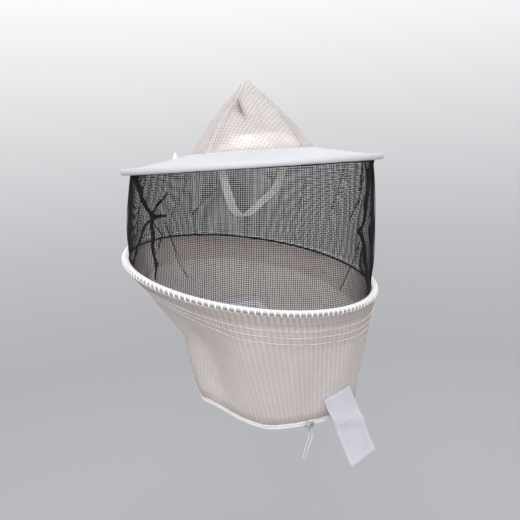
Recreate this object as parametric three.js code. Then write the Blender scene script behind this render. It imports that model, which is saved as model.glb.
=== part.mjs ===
// Detachable round beekeeping hood: pointed ventilated crown, wired brim, black net veil,
// tilted hoop, tapered ventilated skirt and the neck zip that joins it to a suit.
// Millimetres, +Z up, front of the wearer towards -Y, wearer's left towards +X.
// The origin is the centre of the head opening, in the plane where the crown meets the brim.
import * as THREE from 'three';
import { mergeVertices } from 'three/addons/utils/BufferGeometryUtils.js';

// ---------------------------------------------------------------- driving dimensions
const SEGMENTS = 36;              // facets round every ring, so that nested rings line up
const GAP = 0.3;                  // clearance between sewn neighbours

const CROWN_RADIUS = 107.5;       // outside of the crown where it meets the brim
const CROWN_HEIGHT = 119;
const CROWN_BULGE = 5.5;          // how far the crown's side stands out from a straight cone
const CROWN_WALL = 3;             // three-layer ventilated fabric
const CROWN_TIP_HOLE = 1.5;       // needle-wide space left where the seams meet at the peak
const CROWN_TAPE_WIDTH = 14;
const BAND_HEIGHT = 24;           // sweatband, turned up inside the crown
const BAND_WALL = 1.6;

const BRIM_RADIUS = 220;          // to the outside of the bound edge
const BRIM_DROP = 20;             // fall of the brim from crown to edge
const BRIM_LAP = 4.5;             // how far the brim's layers reach in under the crown
const COVER_WALL = 1;             // one layer of coated cotton
const CORE_WALL = 1.6;            // stiffener
const BRIM_WIRE = 1.4;            // wire radius
const PIPE_RADIUS = 5.2;          // bound, padded edge
const PIPE_WALL = 1.2;
const FERRULE_WALL = 0.7;
const FERRULE_LENGTH = 16;
const BINDING_HEIGHT = 8;
const BINDING_WALL = 1.8;

const TAB_INSET = 40;             // from the brim's edge to the hanging tab on its rear
const TAB_WIDTH = 20;
const TAB_HEIGHT = 16;
const TAB_WALL = 1.4;

const VEIL_INSET = 16;            // from the brim's edge in to the net's top tape
const VEIL_WALL = 1.2;            // thickness that stands for the knotted net
const TAPE_WALL = 1.2;            // black binding tapes of the net
const TAPE_HEIGHT = 6;
const VEIL_SEAM = 40;             // degrees from front to the net's seams, on one diameter
const VEIL_SEAM_WIDTH = 10;

const HOOP_CENTRE = [0, 17.4, -199];
const HOOP_TILT = 14.35;          // degrees, front down
const HOOP_RADIUS = 214.7;        // centre line of the wire
const HOOP_WIRE = 2;
const CASING_RADIUS = 5.6;
const FACING_HEIGHT = 50;         // double band below the hoop
const FACING_WALL = 1.5;

const SKIRT_WALL = 3;
const SKIRT_PROUD = 2.8;          // outside of the skirt's top beyond the hoop's centre line
const NECK_RADIUS = 139;          // centre line of the zip
const NECK_CENTRE_Y = -12;
const NECK_FRONT_Z = -432;        // level of the zip's edge over the level front stretch
const NECK_LEVEL_ANGLE = 50;      // degrees each side of front where the edge runs level
const NECK_SIDE_ANGLE = 102;      // degrees from front where its gentle rise at the sides ends
const NECK_SIDE_RISE = 36;
const NECK_NAPE_ANGLE = 138;      // degrees from front where its steep rise to the nape ends
const NECK_NAPE_RISE = 112;
const ZIP_TAPE_WALL = 1.2;
const ZIP_TAPE_SHOWN = 12;        // tape below the skirt's lower edge
const ZIP_TAPE_SEWN = 5;          // tape hidden behind the skirt
const HEM_HEIGHT = 9;
const COIL_WIDTH = 3;
const COIL_HEIGHT = 2.6;
const ZIP_END_ANGLE = 1;          // degrees each side of front where the open zip ends

const SLIDER_ANGLE = -28;         // towards the wearer's right
const SLIDER_LENGTH = 15;
const SLIDER_WALL = 1.2;
const SLIDER_CLEARANCE = 1.1;
const PULL_WIDTH = 7;
const PULL_LENGTH = 12;
const PULL_WALL = 1.2;
const PULL_HOLE = 1.3;
const CORD_DIAMETER = 2;
const CORD_DROP = 42;
const CORD_LEAN = -13;

const FLAP_WIDTH = 57;
const FLAP_LENGTH = 111;
const FLAP_WALL = 2.4;
const FLAP_ANGLE = 21;            // degrees that it stands out from vertical
const FLAP_ABOVE_ZIP = 42;        // height of its seam over the zip's edge
const PATCH_LENGTH = 66;
const PATCH_WALL = 1.6;
const PATCH_MARGIN = 4;

const STRAP_WIDTH = 15;
const STRAP_WALL = 1.5;
const STRAP_DROP = 108;
const ANCHOR_WIDTH = 18;
const ANCHOR_HEIGHT = 12;
const ANCHOR_WALL = 1.6;

// ---------------------------------------------------------------- sizes that follow
const BRIM_HOLE = CROWN_RADIUS - BRIM_LAP;
const TAB_RADIUS = BRIM_RADIUS - TAB_INSET;
const VEIL_RADIUS = BRIM_RADIUS - VEIL_INSET;
const SKIRT_TOP_RADIUS = HOOP_RADIUS + SKIRT_PROUD;
const PATCH_WIDTH = FLAP_WIDTH - 2 * PATCH_MARGIN;

// ---------------------------------------------------------------- shared shape helpers
const radians = THREE.MathUtils.degToRad;
const STEP = 360 / SEGMENTS;

// A point at an angle from front, in degrees, positive towards the wearer's left.
const ringPoint = (radius, angle, z) => new THREE.Vector3(
  radius * Math.sin(radians(angle)), -radius * Math.cos(radians(angle)), z);

// Every facet edge from one angle to another, with the ends themselves.
function anglesBetween(start, end) {
  const angles = [start];
  const first = Math.floor(start / STEP + 1e-6) + 1;
  for (let k = first; k * STEP < end - 1e-6; k += 1) angles.push(k * STEP);
  angles.push(end);
  return angles;
}
const FULL_RING = Array.from({ length: SEGMENTS }, (_, k) => k * STEP);

// Puts a narrow tape's points on the flat facets of the wall that it is sewn to.
const onFacets = (surface) => (angle, row) => {
  const first = Math.floor(angle / STEP + 1e-6) * STEP;
  return surface(first, row).lerp(surface(first + STEP, row), (angle - first) / STEP);
};

function signedVolume(geometry) {
  const place = geometry.getAttribute('position');
  const index = geometry.getIndex();
  const [a, b, c] = [new THREE.Vector3(), new THREE.Vector3(), new THREE.Vector3()];
  let sum = 0;
  for (let i = 0; i < index.count; i += 3) {
    a.fromBufferAttribute(place, index.getX(i));
    b.fromBufferAttribute(place, index.getX(i + 1));
    c.fromBufferAttribute(place, index.getX(i + 2));
    sum += a.dot(b.cross(c)) / 6;
  }
  return sum;
}

// One closed body with shared vertices and its faces pointing out.
function closedBody(raw) {
  raw.deleteAttribute('normal');
  raw.deleteAttribute('uv');
  const geometry = mergeVertices(raw, 1e-4);
  if (signedVolume(geometry) < 0) {
    const index = geometry.getIndex();
    for (let i = 0; i < index.count; i += 3) {
      const second = index.getX(i + 1);
      index.setX(i + 1, index.getX(i + 2));
      index.setX(i + 2, second);
    }
  }
  geometry.computeVertexNormals();
  return geometry;
}

function fromPoints(points, triangles) {
  const geometry = new THREE.BufferGeometry().setFromPoints(points);
  geometry.setIndex(triangles);
  return closedBody(geometry);
}

// A thin wall between two surfaces, each a function of a column value and a row value.
function shell(columns, rows, outer, inner, closed = false) {
  const points = [];
  const at = (side, i, j) => (side * columns.length + (i % columns.length)) * rows.length + j;
  for (const surface of [outer, inner]) {
    for (const column of columns) for (const row of rows) points.push(surface(column, row));
  }
  const triangles = [];
  const quad = (a, b, c, d) => triangles.push(a, b, c, a, c, d);
  const spans = closed ? columns.length : columns.length - 1;
  const last = rows.length - 1;
  for (let i = 0; i < spans; i += 1) {
    for (let j = 0; j < last; j += 1) {
      quad(at(0, i, j), at(0, i + 1, j), at(0, i + 1, j + 1), at(0, i, j + 1));
      quad(at(1, i, j), at(1, i, j + 1), at(1, i + 1, j + 1), at(1, i + 1, j));
    }
    quad(at(0, i, 0), at(1, i, 0), at(1, i + 1, 0), at(0, i + 1, 0));
    quad(at(0, i, last), at(0, i + 1, last), at(1, i + 1, last), at(1, i, last));
  }
  if (!closed) {
    const end = columns.length - 1;
    for (let j = 0; j < last; j += 1) {
      quad(at(0, 0, j), at(0, 0, j + 1), at(1, 0, j + 1), at(1, 0, j));
      quad(at(0, end, j), at(1, end, j), at(1, end, j + 1), at(0, end, j + 1));
    }
  }
  return fromPoints(points, triangles);
}

// A solid bar whose section, a convex outline of [out, up] steps, is carried along columns.
function sweep(columns, section, place, closed = false) {
  const points = columns.flatMap((column) => section.map(([out, up]) => place(column, out, up)));
  const size = section.length;
  const at = (i, j) => (i % columns.length) * size + (j % size);
  const triangles = [];
  const spans = closed ? columns.length : columns.length - 1;
  for (let i = 0; i < spans; i += 1) {
    for (let j = 0; j < size; j += 1) {
      triangles.push(at(i, j), at(i + 1, j), at(i + 1, j + 1));
      triangles.push(at(i, j), at(i + 1, j + 1), at(i, j + 1));
    }
  }
  if (!closed) {
    const end = columns.length - 1;
    for (let j = 1; j < size - 1; j += 1) {
      triangles.push(at(0, 0), at(0, j), at(0, j + 1));
      triangles.push(at(end, 0), at(end, j + 1), at(end, j));
    }
  }
  return fromPoints(points, triangles);
}

// A ring turned about Z from a closed profile of [radius, height] corners.
function turnedRing(profile) {
  const corners = [...profile, profile[0]].map(([radius, z]) => new THREE.Vector2(radius, z));
  return closedBody(new THREE.LatheGeometry(corners, SEGMENTS).rotateX(Math.PI / 2));
}

// A wire bent to a full circle about Z.
const wireRing = (radius, thick) => closedBody(new THREE.TorusGeometry(radius, thick, 6, SEGMENTS));

// A tunnel of fabric round a wire: an arc of wall, open along its mouth.
const TUNNEL_MAX_TURN = 48;       // most degrees that one facet of the tunnel spans
function openTunnel(radius, bore, outside, mouthAngle, mouthHalf) {
  const arc = 360 - 2 * mouthHalf;
  const count = Math.ceil(arc / TUNNEL_MAX_TURN);
  const rows = Array.from({ length: count + 1 }, (_, k) => mouthAngle + mouthHalf + (arc * k) / count);
  const wall = (thick) => (angle, turn) => ringPoint(
    radius + thick * Math.cos(radians(turn)), angle, thick * Math.sin(radians(turn)));
  return shell(FULL_RING, rows, wall(outside), wall(bore), true);
}

// A crimped sleeve over the wire's joint, straight along one facet of the ring.
function wireFerrule(radius, wire, angle) {
  const half = FERRULE_LENGTH / 2;
  const middle = radius * Math.cos(radians(STEP / 2));
  const turns = [0, 60, 120, 180, 240, 300];
  const wall = (thick) => (turn, along) => new THREE.Vector3(
    along, -middle - thick * Math.cos(radians(turn)), thick * Math.sin(radians(turn)));
  const bore = wire + GAP;
  const sleeve = shell(turns, [-half, half], wall(bore + FERRULE_WALL), wall(bore), true);
  return sleeve.rotateZ(radians(angle));
}

const fabric = (color, roughness = 0.9) => new THREE.MeshStandardMaterial(
  { color, roughness, metalness: 0, side: THREE.DoubleSide });
const materials = {
  ventilated: fabric(0xe8dcd7),
  white: fabric(0xf2f2f6, 0.7),
  core: fabric(0xdcdcdc),
  net: fabric(0x1b1b1d),
  tape: fabric(0x121214),
  elastic: fabric(0xe9e6e0),
  flap: fabric(0xe4e2ec),
  hook: fabric(0xdcd9e2),
  zipTape: fabric(0xeeeeee),
  plastic: fabric(0xf4f4f4, 0.4),
  steel: new THREE.MeshStandardMaterial({ color: 0xb8bcc2, roughness: 0.35, metalness: 1 }),
};

function mesh(group, name, geometry, material) {
  const made = new THREE.Mesh(geometry, material);
  made.name = name;
  group.add(made);
  return made;
}

// ---------------------------------------------------------------- brim surfaces
const BRIM_SLOPE = BRIM_DROP / (BRIM_RADIUS - CROWN_RADIUS);
const BRIM_THICK = 2 * COVER_WALL + CORE_WALL + 2 * GAP;
const PIPE_LINE = BRIM_RADIUS - PIPE_RADIUS;
const LAYER_EDGE = PIPE_LINE - BRIM_WIRE - FERRULE_WALL - 2 * GAP;
const brimTop = (radius) => -(radius - CROWN_RADIUS) * BRIM_SLOPE;
const brimUnder = (radius) => brimTop(radius) - BRIM_THICK;

function brimLayer(below, wall) {
  const upper = (radius) => brimTop(radius) - below;
  return turnedRing([
    [BRIM_HOLE, upper(BRIM_HOLE)],
    [LAYER_EDGE, upper(LAYER_EDGE)],
    [LAYER_EDGE, upper(LAYER_EDGE) - wall],
    [BRIM_HOLE, upper(BRIM_HOLE) - wall],
  ]);
}

function makeBrim(hat) {
  mesh(hat, 'brim_top_cover', brimLayer(0, COVER_WALL), materials.white);
  mesh(hat, 'brim_core', brimLayer(COVER_WALL + GAP, CORE_WALL), materials.core);
  const underBelow = COVER_WALL + CORE_WALL + 2 * GAP;
  mesh(hat, 'brim_under_cover', brimLayer(underBelow, COVER_WALL), materials.white);

  const edge = new THREE.Group();
  edge.position.z = brimTop(PIPE_LINE) - BRIM_THICK / 2;
  hat.add(edge);
  const lean = THREE.MathUtils.radToDeg(Math.atan(BRIM_SLOPE));
  mesh(edge, 'brim_wire', wireRing(PIPE_LINE, BRIM_WIRE), materials.steel);
  mesh(edge, 'brim_wire_ferrule', wireFerrule(PIPE_LINE, BRIM_WIRE, 180 + STEP / 2), materials.steel);
  const bore = PIPE_RADIUS - PIPE_WALL;
  mesh(edge, 'brim_binding', openTunnel(PIPE_LINE, bore, PIPE_RADIUS, 180 - lean, 43), materials.white);

  const inside = BRIM_HOLE - GAP;
  mesh(hat, 'head_opening_binding', turnedRing([
    [inside, brimTop(BRIM_HOLE) + 0.4],
    [inside, brimTop(BRIM_HOLE) + 0.4 - BINDING_HEIGHT],
    [inside - BINDING_WALL, brimTop(BRIM_HOLE) + 0.4 - BINDING_HEIGHT],
    [inside - BINDING_WALL, brimTop(BRIM_HOLE) + 0.4],
  ]), materials.white);

  // A folded triangle of tape that stands on the rear of the brim.
  const outline = new THREE.Shape();
  outline.moveTo(-TAB_WIDTH / 2, 0);
  outline.lineTo(TAB_WIDTH / 2, 0);
  outline.lineTo(TAB_WIDTH / 8, TAB_HEIGHT);
  outline.lineTo(-TAB_WIDTH / 8, TAB_HEIGHT);
  outline.closePath();
  const tab = new THREE.ExtrudeGeometry(outline, { depth: TAB_WALL, bevelEnabled: false });
  tab.rotateX(Math.PI / 2);
  const standing = mesh(hat, 'hanging_tab', closedBody(tab), materials.white);
  standing.position.set(0, TAB_RADIUS, brimTop(TAB_RADIUS) + GAP);
}

// ---------------------------------------------------------------- crown
const crownRadius = (z) => CROWN_RADIUS * (1 - z / CROWN_HEIGHT)
  + CROWN_BULGE * Math.sin((Math.PI * z) / CROWN_HEIGHT);
const CROWN_PEAK = CROWN_HEIGHT - 4;
const CROWN_LEVELS = [0, 0.22, 0.45, 0.7, 0.9, 1];

// The crown's outer face at a share of its height; its foot follows the brim's slope.
function crownPoint(angle, share, inset) {
  const z = share * CROWN_PEAK;
  const radius = Math.max(crownRadius(z) - inset, CROWN_TIP_HOLE);
  const foot = GAP + brimTop(radius);
  return ringPoint(radius, angle, share === 0 ? foot : z);
}

function makeCrown(hat) {
  const faces = (inset) => (angle, share) => crownPoint(angle, share, inset);
  const halves = [
    ['crown_front_panel', -90, 90, -GAP / 2],
    ['crown_back_panel', 90, 270, GAP / 2],
  ];
  for (const [name, start, end, shift] of halves) {
    const wall = shell(anglesBetween(start, end), CROWN_LEVELS, faces(0), faces(CROWN_WALL));
    mesh(hat, name, wall, materials.ventilated).position.y = shift;
  }

  // Tapes sewn inside, over the two side seams, from above the sweatband to near the peak.
  const under = CROWN_WALL + 2 * GAP;
  const seams = [['crown_left_seam_tape', 90], ['crown_right_seam_tape', 270]];
  for (const [name, seam] of seams) {
    const across = (inset) => (side, share) => {
      const middle = crownPoint(seam, share, inset);
      const half = Math.min(CROWN_TAPE_WIDTH / 2, Math.abs(middle.x) * 0.16);
      return new THREE.Vector3(middle.x, side * half, middle.z);
    };
    const levels = [0.27, 0.45, 0.7, 0.86];
    const tape = shell([-1, 0, 1], levels, across(under + 0.4), across(under + 1.4));
    mesh(hat, name, tape, materials.white);
  }

  const bandInset = CROWN_WALL + 2 * GAP;
  const bandFoot = brimTop(BRIM_HOLE) + 0.8;
  const bandRadius = (z) => crownRadius(z) - bandInset;
  mesh(hat, 'sweatband', turnedRing([
    [Math.min(bandRadius(bandFoot), BRIM_HOLE - GAP), bandFoot],
    [bandRadius(bandFoot + BAND_HEIGHT), bandFoot + BAND_HEIGHT],
    [bandRadius(bandFoot + BAND_HEIGHT) - BAND_WALL, bandFoot + BAND_HEIGHT],
    [Math.min(bandRadius(bandFoot), BRIM_HOLE - GAP) - BAND_WALL, bandFoot],
  ]), materials.elastic);
}

// ---------------------------------------------------------------- chin strap
const ANCHOR_FACE = (BRIM_HOLE - GAP - BINDING_WALL) - GAP;   // inner face of the binding
const ANCHOR_REACH = ANCHOR_FACE - 0.9 - ANCHOR_WALL / 2;      // clear of the ring's facets
const STRAP_HALF_SPAN = ANCHOR_REACH - ANCHOR_WALL / 2 - GAP - STRAP_WALL / 2;
const ANCHOR_Y = -6;
const STRAP_POINTS = [
  [1, 0, -0.045], [0.93, 0.02, -0.12], [0.86, 0.05, -0.22], [0.74, 0.16, -0.47],
  [0.61, 0.34, -0.65], [0.36, 0.75, -0.84], [0.16, 0.93, -0.96], [0, 1, -1],
];
const STRAP_BACK = 34;            // how far behind its ends the strap's lowest point hangs

function makeChinStrap(strapGroup, hat) {
  for (const [name, side] of [['strap_anchor_left', 1], ['strap_anchor_right', -1]]) {
    const patch = closedBody(new THREE.BoxGeometry(ANCHOR_WALL, ANCHOR_WIDTH, ANCHOR_HEIGHT));
    const anchor = mesh(hat, name, patch, materials.white);
    anchor.position.set(side * ANCHOR_REACH, 0, brimTop(BRIM_HOLE) + 0.4 - ANCHOR_HEIGHT / 2);
  }
  const right = STRAP_POINTS.map(([x, y, z]) => new THREE.Vector3(
    x * STRAP_HALF_SPAN, ANCHOR_Y + y * STRAP_BACK, z * STRAP_DROP));
  const left = right.slice(0, -1).map((p) => new THREE.Vector3(-p.x, p.y, p.z)).reverse();
  const path = new THREE.CatmullRomCurve3([...right, ...left]);
  const columns = Array.from({ length: 21 }, (_, k) => k / 20);
  const face = (side) => (t, row) => {
    const along = path.getTangent(t);
    const across = new THREE.Vector3(0, 1, 0).addScaledVector(along, -along.y).normalize();
    const out = new THREE.Vector3().crossVectors(along, across);
    return path.getPoint(t).addScaledVector(across, (row * STRAP_WIDTH) / 2)
      .addScaledVector(out, (side * STRAP_WALL) / 2);
  };
  mesh(strapGroup, 'chin_strap', shell(columns, [-1, 1], face(1), face(-1)), materials.elastic);
}

// ---------------------------------------------------------------- hoop frame
const hoopTurn = new THREE.Matrix4().makeRotationX(radians(HOOP_TILT))
  .setPosition(...HOOP_CENTRE);
const hoopPoint = (radius, angle, z) => ringPoint(radius, angle, z).applyMatrix4(hoopTurn);

const VEIL_OUT_BOTTOM = HOOP_RADIUS - CASING_RADIUS - GAP - TAPE_WALL - GAP;

// ---------------------------------------------------------------- net veil
// Rows run down the net: 0 to 1 behind the top tape, 1 to 2 free, 2 to 3 behind the hoop's tape.
function veilPoint(angle, row, inset) {
  const radius = VEIL_RADIUS - GAP - TAPE_WALL - inset;
  const top = ringPoint(radius, angle, brimUnder(radius) - GAP);
  const underTape = ringPoint(radius, angle, brimUnder(radius) - TAPE_HEIGHT - 2 * GAP);
  const overHoop = hoopPoint(VEIL_OUT_BOTTOM - inset, angle, TAPE_HEIGHT - 2 + GAP);
  const bottom = hoopPoint(VEIL_OUT_BOTTOM - inset, angle, -2);
  if (row <= 1) return top.lerp(underTape, row);
  if (row <= 2) return underTape.lerp(overHoop, row - 1);
  return overHoop.lerp(bottom, row - 2);
}
const VEIL_ROWS = [0, 1, 1.33, 1.67, 2, 3];

function makeVeil(hat) {
  const top = VEIL_RADIUS;
  mesh(hat, 'veil_top_tape', turnedRing([
    [top, brimUnder(top) - GAP],
    [top, brimUnder(top) - GAP - TAPE_HEIGHT],
    [top - TAPE_WALL, brimUnder(top) - GAP - TAPE_HEIGHT],
    [top - TAPE_WALL, brimUnder(top - TAPE_WALL) - GAP],
  ]), materials.tape);

  const across = new THREE.Vector3(Math.cos(radians(VEIL_SEAM)), Math.sin(radians(VEIL_SEAM)), 0);
  const face = (inset) => (angle, row) => veilPoint(angle, row, inset);
  const panels = [
    ['veil_left_panel', VEIL_SEAM, VEIL_SEAM + 180, GAP / 2],
    ['veil_right_panel', VEIL_SEAM - 180, VEIL_SEAM, -GAP / 2],
  ];
  for (const [name, start, end, shift] of panels) {
    const wall = shell(anglesBetween(start, end), VEIL_ROWS, face(0), face(VEIL_WALL));
    mesh(hat, name, wall, materials.net).position.copy(across).multiplyScalar(shift);
  }

  const seams = [['veil_left_seam_tape', VEIL_SEAM], ['veil_right_seam_tape', VEIL_SEAM - 180]];
  const half = THREE.MathUtils.radToDeg(VEIL_SEAM_WIDTH / 2 / VEIL_RADIUS);
  for (const [name, seam] of seams) {
    const columns = [seam - half, seam, seam + half];
    const tapeRows = [1.02, 1.33, 1.67, 1.97];
    const tape = shell(columns, tapeRows,
      onFacets(face(-2 * GAP - TAPE_WALL)), onFacets(face(-2 * GAP)));
    mesh(hat, name, tape, materials.tape);
  }
}

// ---------------------------------------------------------------- neck edge and skirt
// Height of the zip's edge: level over the front, a gentle rise at the sides, a steep one behind.
function neckZ(angle) {
  const turn = Math.abs(((angle + 540) % 360) - 180);
  const rise = (from, to) => {
    const share = THREE.MathUtils.clamp((turn - from) / (to - from), 0, 1);
    return share * share * (3 - 2 * share);
  };
  return NECK_FRONT_Z + NECK_SIDE_RISE * rise(NECK_LEVEL_ANGLE, NECK_SIDE_ANGLE)
    + NECK_NAPE_RISE * rise(NECK_SIDE_ANGLE, NECK_NAPE_ANGLE);
}
function neckPoint(angle, out, up) {
  const point = ringPoint(NECK_RADIUS + out, angle, neckZ(angle) + up);
  point.y += NECK_CENTRE_Y;
  return point;
}
const SKIRT_NECK_OUT = ZIP_TAPE_WALL / 2 + GAP + SKIRT_WALL;
const SKIRT_TOP_Z = -(CASING_RADIUS + GAP);

// The skirt's wall from the hoop, share 0, to its lower edge, share 1.
function skirtPoint(angle, share, inset) {
  const top = hoopPoint(SKIRT_TOP_RADIUS - inset, angle, SKIRT_TOP_Z);
  return top.lerp(neckPoint(angle, SKIRT_NECK_OUT - inset, ZIP_TAPE_SHOWN), share);
}

function makeHoop(hoop) {
  const ring = new THREE.Group();
  ring.position.set(...HOOP_CENTRE);
  ring.rotation.x = radians(HOOP_TILT);
  hoop.add(ring);
  mesh(ring, 'hoop_wire', wireRing(HOOP_RADIUS, HOOP_WIRE), materials.steel);
  mesh(ring, 'hoop_wire_ferrule', wireFerrule(HOOP_RADIUS, HOOP_WIRE, 180 + STEP / 2), materials.steel);
  const ferruleRadius = HOOP_WIRE + GAP + FERRULE_WALL;
  const bore = (ferruleRadius + GAP) / Math.cos(radians(TUNNEL_MAX_TURN / 2));
  const casing = openTunnel(HOOP_RADIUS, bore, CASING_RADIUS, 250, 12);
  mesh(ring, 'hoop_casing', casing, materials.ventilated);
  const tapeOut = HOOP_RADIUS - CASING_RADIUS - GAP;
  mesh(ring, 'veil_bottom_tape', turnedRing([
    [tapeOut, TAPE_HEIGHT - 2],
    [tapeOut, -2],
    [tapeOut - TAPE_WALL, -2],
    [tapeOut - TAPE_WALL, TAPE_HEIGHT - 2],
  ]), materials.tape);

  const inside = SKIRT_WALL + 2 * GAP;
  const facing = (extra) => (angle, down) => {
    const top = skirtPoint(angle, 0, inside + extra);
    const length = top.distanceTo(skirtPoint(angle, 1, inside + extra));
    return skirtPoint(angle, down / length, inside + extra);
  };
  const band = shell(FULL_RING, [GAP, FACING_HEIGHT], facing(0), facing(FACING_WALL), true);
  mesh(hoop, 'hoop_facing_band', band, materials.ventilated);

  // One panel wrapped round and closed by a seam at the nape.
  const slit = 0.06;
  const columns = anglesBetween(-180 + slit, 180 - slit);
  const face = (inset) => (angle, share) => skirtPoint(angle, share, inset);
  const skirt = shell(columns, [0, 0.3, 0.6, 1], face(0), face(SKIRT_WALL));
  mesh(hoop, 'skirt_panel', skirt, materials.ventilated);
  const half = 2.4;
  const seam = shell([180 - half, 180, 180 + half], [0.52, 0.7, 0.85],
    onFacets(face(SKIRT_WALL + GAP)), onFacets(face(SKIRT_WALL + GAP + TAPE_WALL)));
  mesh(hoop, 'skirt_seam_tape', seam, materials.white);
}

// ---------------------------------------------------------------- neck zip
const ZIP_ROUND = anglesBetween(ZIP_END_ANGLE, 360 - ZIP_END_ANGLE);
const TAPE_FOOT = COIL_HEIGHT / 2 + GAP;

function makeNeckZip(neck) {
  const half = ZIP_TAPE_WALL / 2;
  const top = ZIP_TAPE_SHOWN + ZIP_TAPE_SEWN;
  const wall = (low, high, out, inner) => [[out, low], [out, high], [inner, high], [inner, low]];
  const tape = sweep(ZIP_ROUND, wall(TAPE_FOOT, top, half, -half), neckPoint);
  mesh(neck, 'zip_tape', tape, materials.zipTape);

  const hemOut = -half - GAP;
  const hemSection = wall(top - HEM_HEIGHT, top, hemOut, hemOut - TAPE_WALL);
  mesh(neck, 'hem_tape', sweep(FULL_RING, hemSection, neckPoint, true), materials.white);

  const coil = [0, 60, 120, 180, 240, 300].map((turn) => [
    (COIL_WIDTH / 2) * Math.cos(radians(turn)),
    (COIL_HEIGHT / 2 / Math.sin(radians(60))) * Math.sin(radians(turn)),
  ]);
  mesh(neck, 'zip_coil', sweep(ZIP_ROUND, coil, neckPoint), materials.plastic);

  // The open zip's two ends meet under the flap: a pin on one, a stop on the other.
  const pinHeight = ZIP_TAPE_SHOWN - TAPE_FOOT - 2 * GAP;
  const ends = [['zip_pin', 3.4, pinHeight], ['zip_end_stop', -3.4, pinHeight / 2]];
  for (const [name, angle, height] of ends) {
    const block = closedBody(new THREE.BoxGeometry(3, 1.6, height));
    const end = mesh(neck, name, block, materials.plastic);
    end.position.copy(neckPoint(angle, half + GAP + 0.8, TAPE_FOOT + height / 2));
    end.rotation.z = radians(angle);
  }
}

// ---------------------------------------------------------------- slider, pull and cord
const CHANNEL = COIL_WIDTH / 2 + SLIDER_CLEARANCE;
const SLIDER_OUT = CHANNEL + SLIDER_WALL;

const circle = (radius) => Array.from({ length: 8 }, (_, k) => new THREE.Vector2(
  radius * Math.cos((k * Math.PI) / 4), radius * Math.sin((k * Math.PI) / 4)));

function makeSlider(neck) {
  const slider = new THREE.Group();
  slider.position.set(0, NECK_CENTRE_Y, NECK_FRONT_Z);
  slider.rotation.z = radians(SLIDER_ANGLE);
  neck.add(slider);

  const floor = -COIL_HEIGHT / 2 - SLIDER_CLEARANCE;
  const rim = COIL_HEIGHT / 2 + 2.4;
  const outline = new THREE.Shape([
    new THREE.Vector2(-SLIDER_OUT, floor - SLIDER_WALL),
    new THREE.Vector2(SLIDER_OUT, floor - SLIDER_WALL),
    new THREE.Vector2(SLIDER_OUT, rim),
    new THREE.Vector2(CHANNEL, rim),
    new THREE.Vector2(CHANNEL, floor),
    new THREE.Vector2(-CHANNEL, floor),
    new THREE.Vector2(-CHANNEL, rim),
    new THREE.Vector2(-SLIDER_OUT, rim),
  ]);
  const body = new THREE.ExtrudeGeometry(outline, { depth: SLIDER_LENGTH, bevelEnabled: false });
  body.translate(0, 0, -SLIDER_LENGTH / 2).rotateX(Math.PI / 2).rotateZ(Math.PI / 2);
  mesh(slider, 'zip_slider', closedBody(body), materials.steel).position.y = -NECK_RADIUS;

  // The pull tab hangs flat outside the slider, with the cord's loop tied below it.
  const plate = new THREE.Shape([
    new THREE.Vector2(-PULL_WIDTH / 2, 0),
    new THREE.Vector2(PULL_WIDTH / 2, 0),
    new THREE.Vector2(PULL_WIDTH / 2, -PULL_LENGTH),
    new THREE.Vector2(-PULL_WIDTH / 2, -PULL_LENGTH),
  ]);
  const holeZ = -PULL_LENGTH + PULL_HOLE + 1.6;
  plate.holes.push(new THREE.Path(circle(PULL_HOLE).map((p) => p.setY(p.y + holeZ))));
  const tab = new THREE.ExtrudeGeometry(plate, { depth: PULL_WALL, bevelEnabled: false });
  tab.rotateX(Math.PI / 2);
  const tabY = -(NECK_RADIUS + SLIDER_OUT + GAP);
  mesh(slider, 'zip_pull_tab', closedBody(tab), materials.steel).position.set(0, tabY, 2);

  const start = 2 - PULL_LENGTH - GAP;
  const middle = tabY - PULL_WALL / 2;
  const loop = new THREE.CatmullRomCurve3([
    new THREE.Vector3(2.2, middle, start),
    new THREE.Vector3(1.5, middle, start - 0.28 * CORD_DROP),
    new THREE.Vector3(0.52 * CORD_LEAN, middle, start - 0.66 * CORD_DROP),
    new THREE.Vector3(CORD_LEAN + 2.6, middle, start - 0.92 * CORD_DROP),
    new THREE.Vector3(CORD_LEAN, middle, start - CORD_DROP),
    new THREE.Vector3(CORD_LEAN - 2.4, middle, start - 0.92 * CORD_DROP),
    new THREE.Vector3(0.86 * CORD_LEAN, middle, start - 0.62 * CORD_DROP),
    new THREE.Vector3(0.36 * CORD_LEAN, middle, start - 0.26 * CORD_DROP),
    new THREE.Vector3(-2.2, middle, start),
  ]);
  const round = new THREE.Shape(circle(CORD_DIAMETER / 2));
  const cord = new THREE.ExtrudeGeometry(round, { steps: 24, extrudePath: loop, bevelEnabled: false });
  mesh(slider, 'pull_cord', closedBody(cord), materials.plastic);
}

// ---------------------------------------------------------------- cover flap
function makeFlap(neck) {
  const drop = NECK_FRONT_Z + FLAP_ABOVE_ZIP;
  const edge = skirtPoint(0, 1, 0);
  const upper = skirtPoint(0, 0, 0);
  const face = edge.lerp(upper, (drop - edge.z) / (upper.z - edge.z));
  const flap = new THREE.Group();
  flap.position.set(0, face.y - GAP - FLAP_WALL / 2 - 0.4, drop);
  flap.rotation.x = radians(-FLAP_ANGLE);
  neck.add(flap);
  const cloth = closedBody(new THREE.BoxGeometry(FLAP_WIDTH, FLAP_WALL, FLAP_LENGTH));
  mesh(flap, 'cover_flap', cloth, materials.flap).position.z = -FLAP_LENGTH / 2;
  const hook = closedBody(new THREE.BoxGeometry(PATCH_WIDTH, PATCH_WALL, PATCH_LENGTH));
  const patch = mesh(flap, 'hook_patch', hook, materials.hook);
  patch.position.y = FLAP_WALL / 2 + GAP + PATCH_WALL / 2;
  patch.position.z = -(FLAP_LENGTH - PATCH_MARGIN - PATCH_LENGTH / 2);
}

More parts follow.
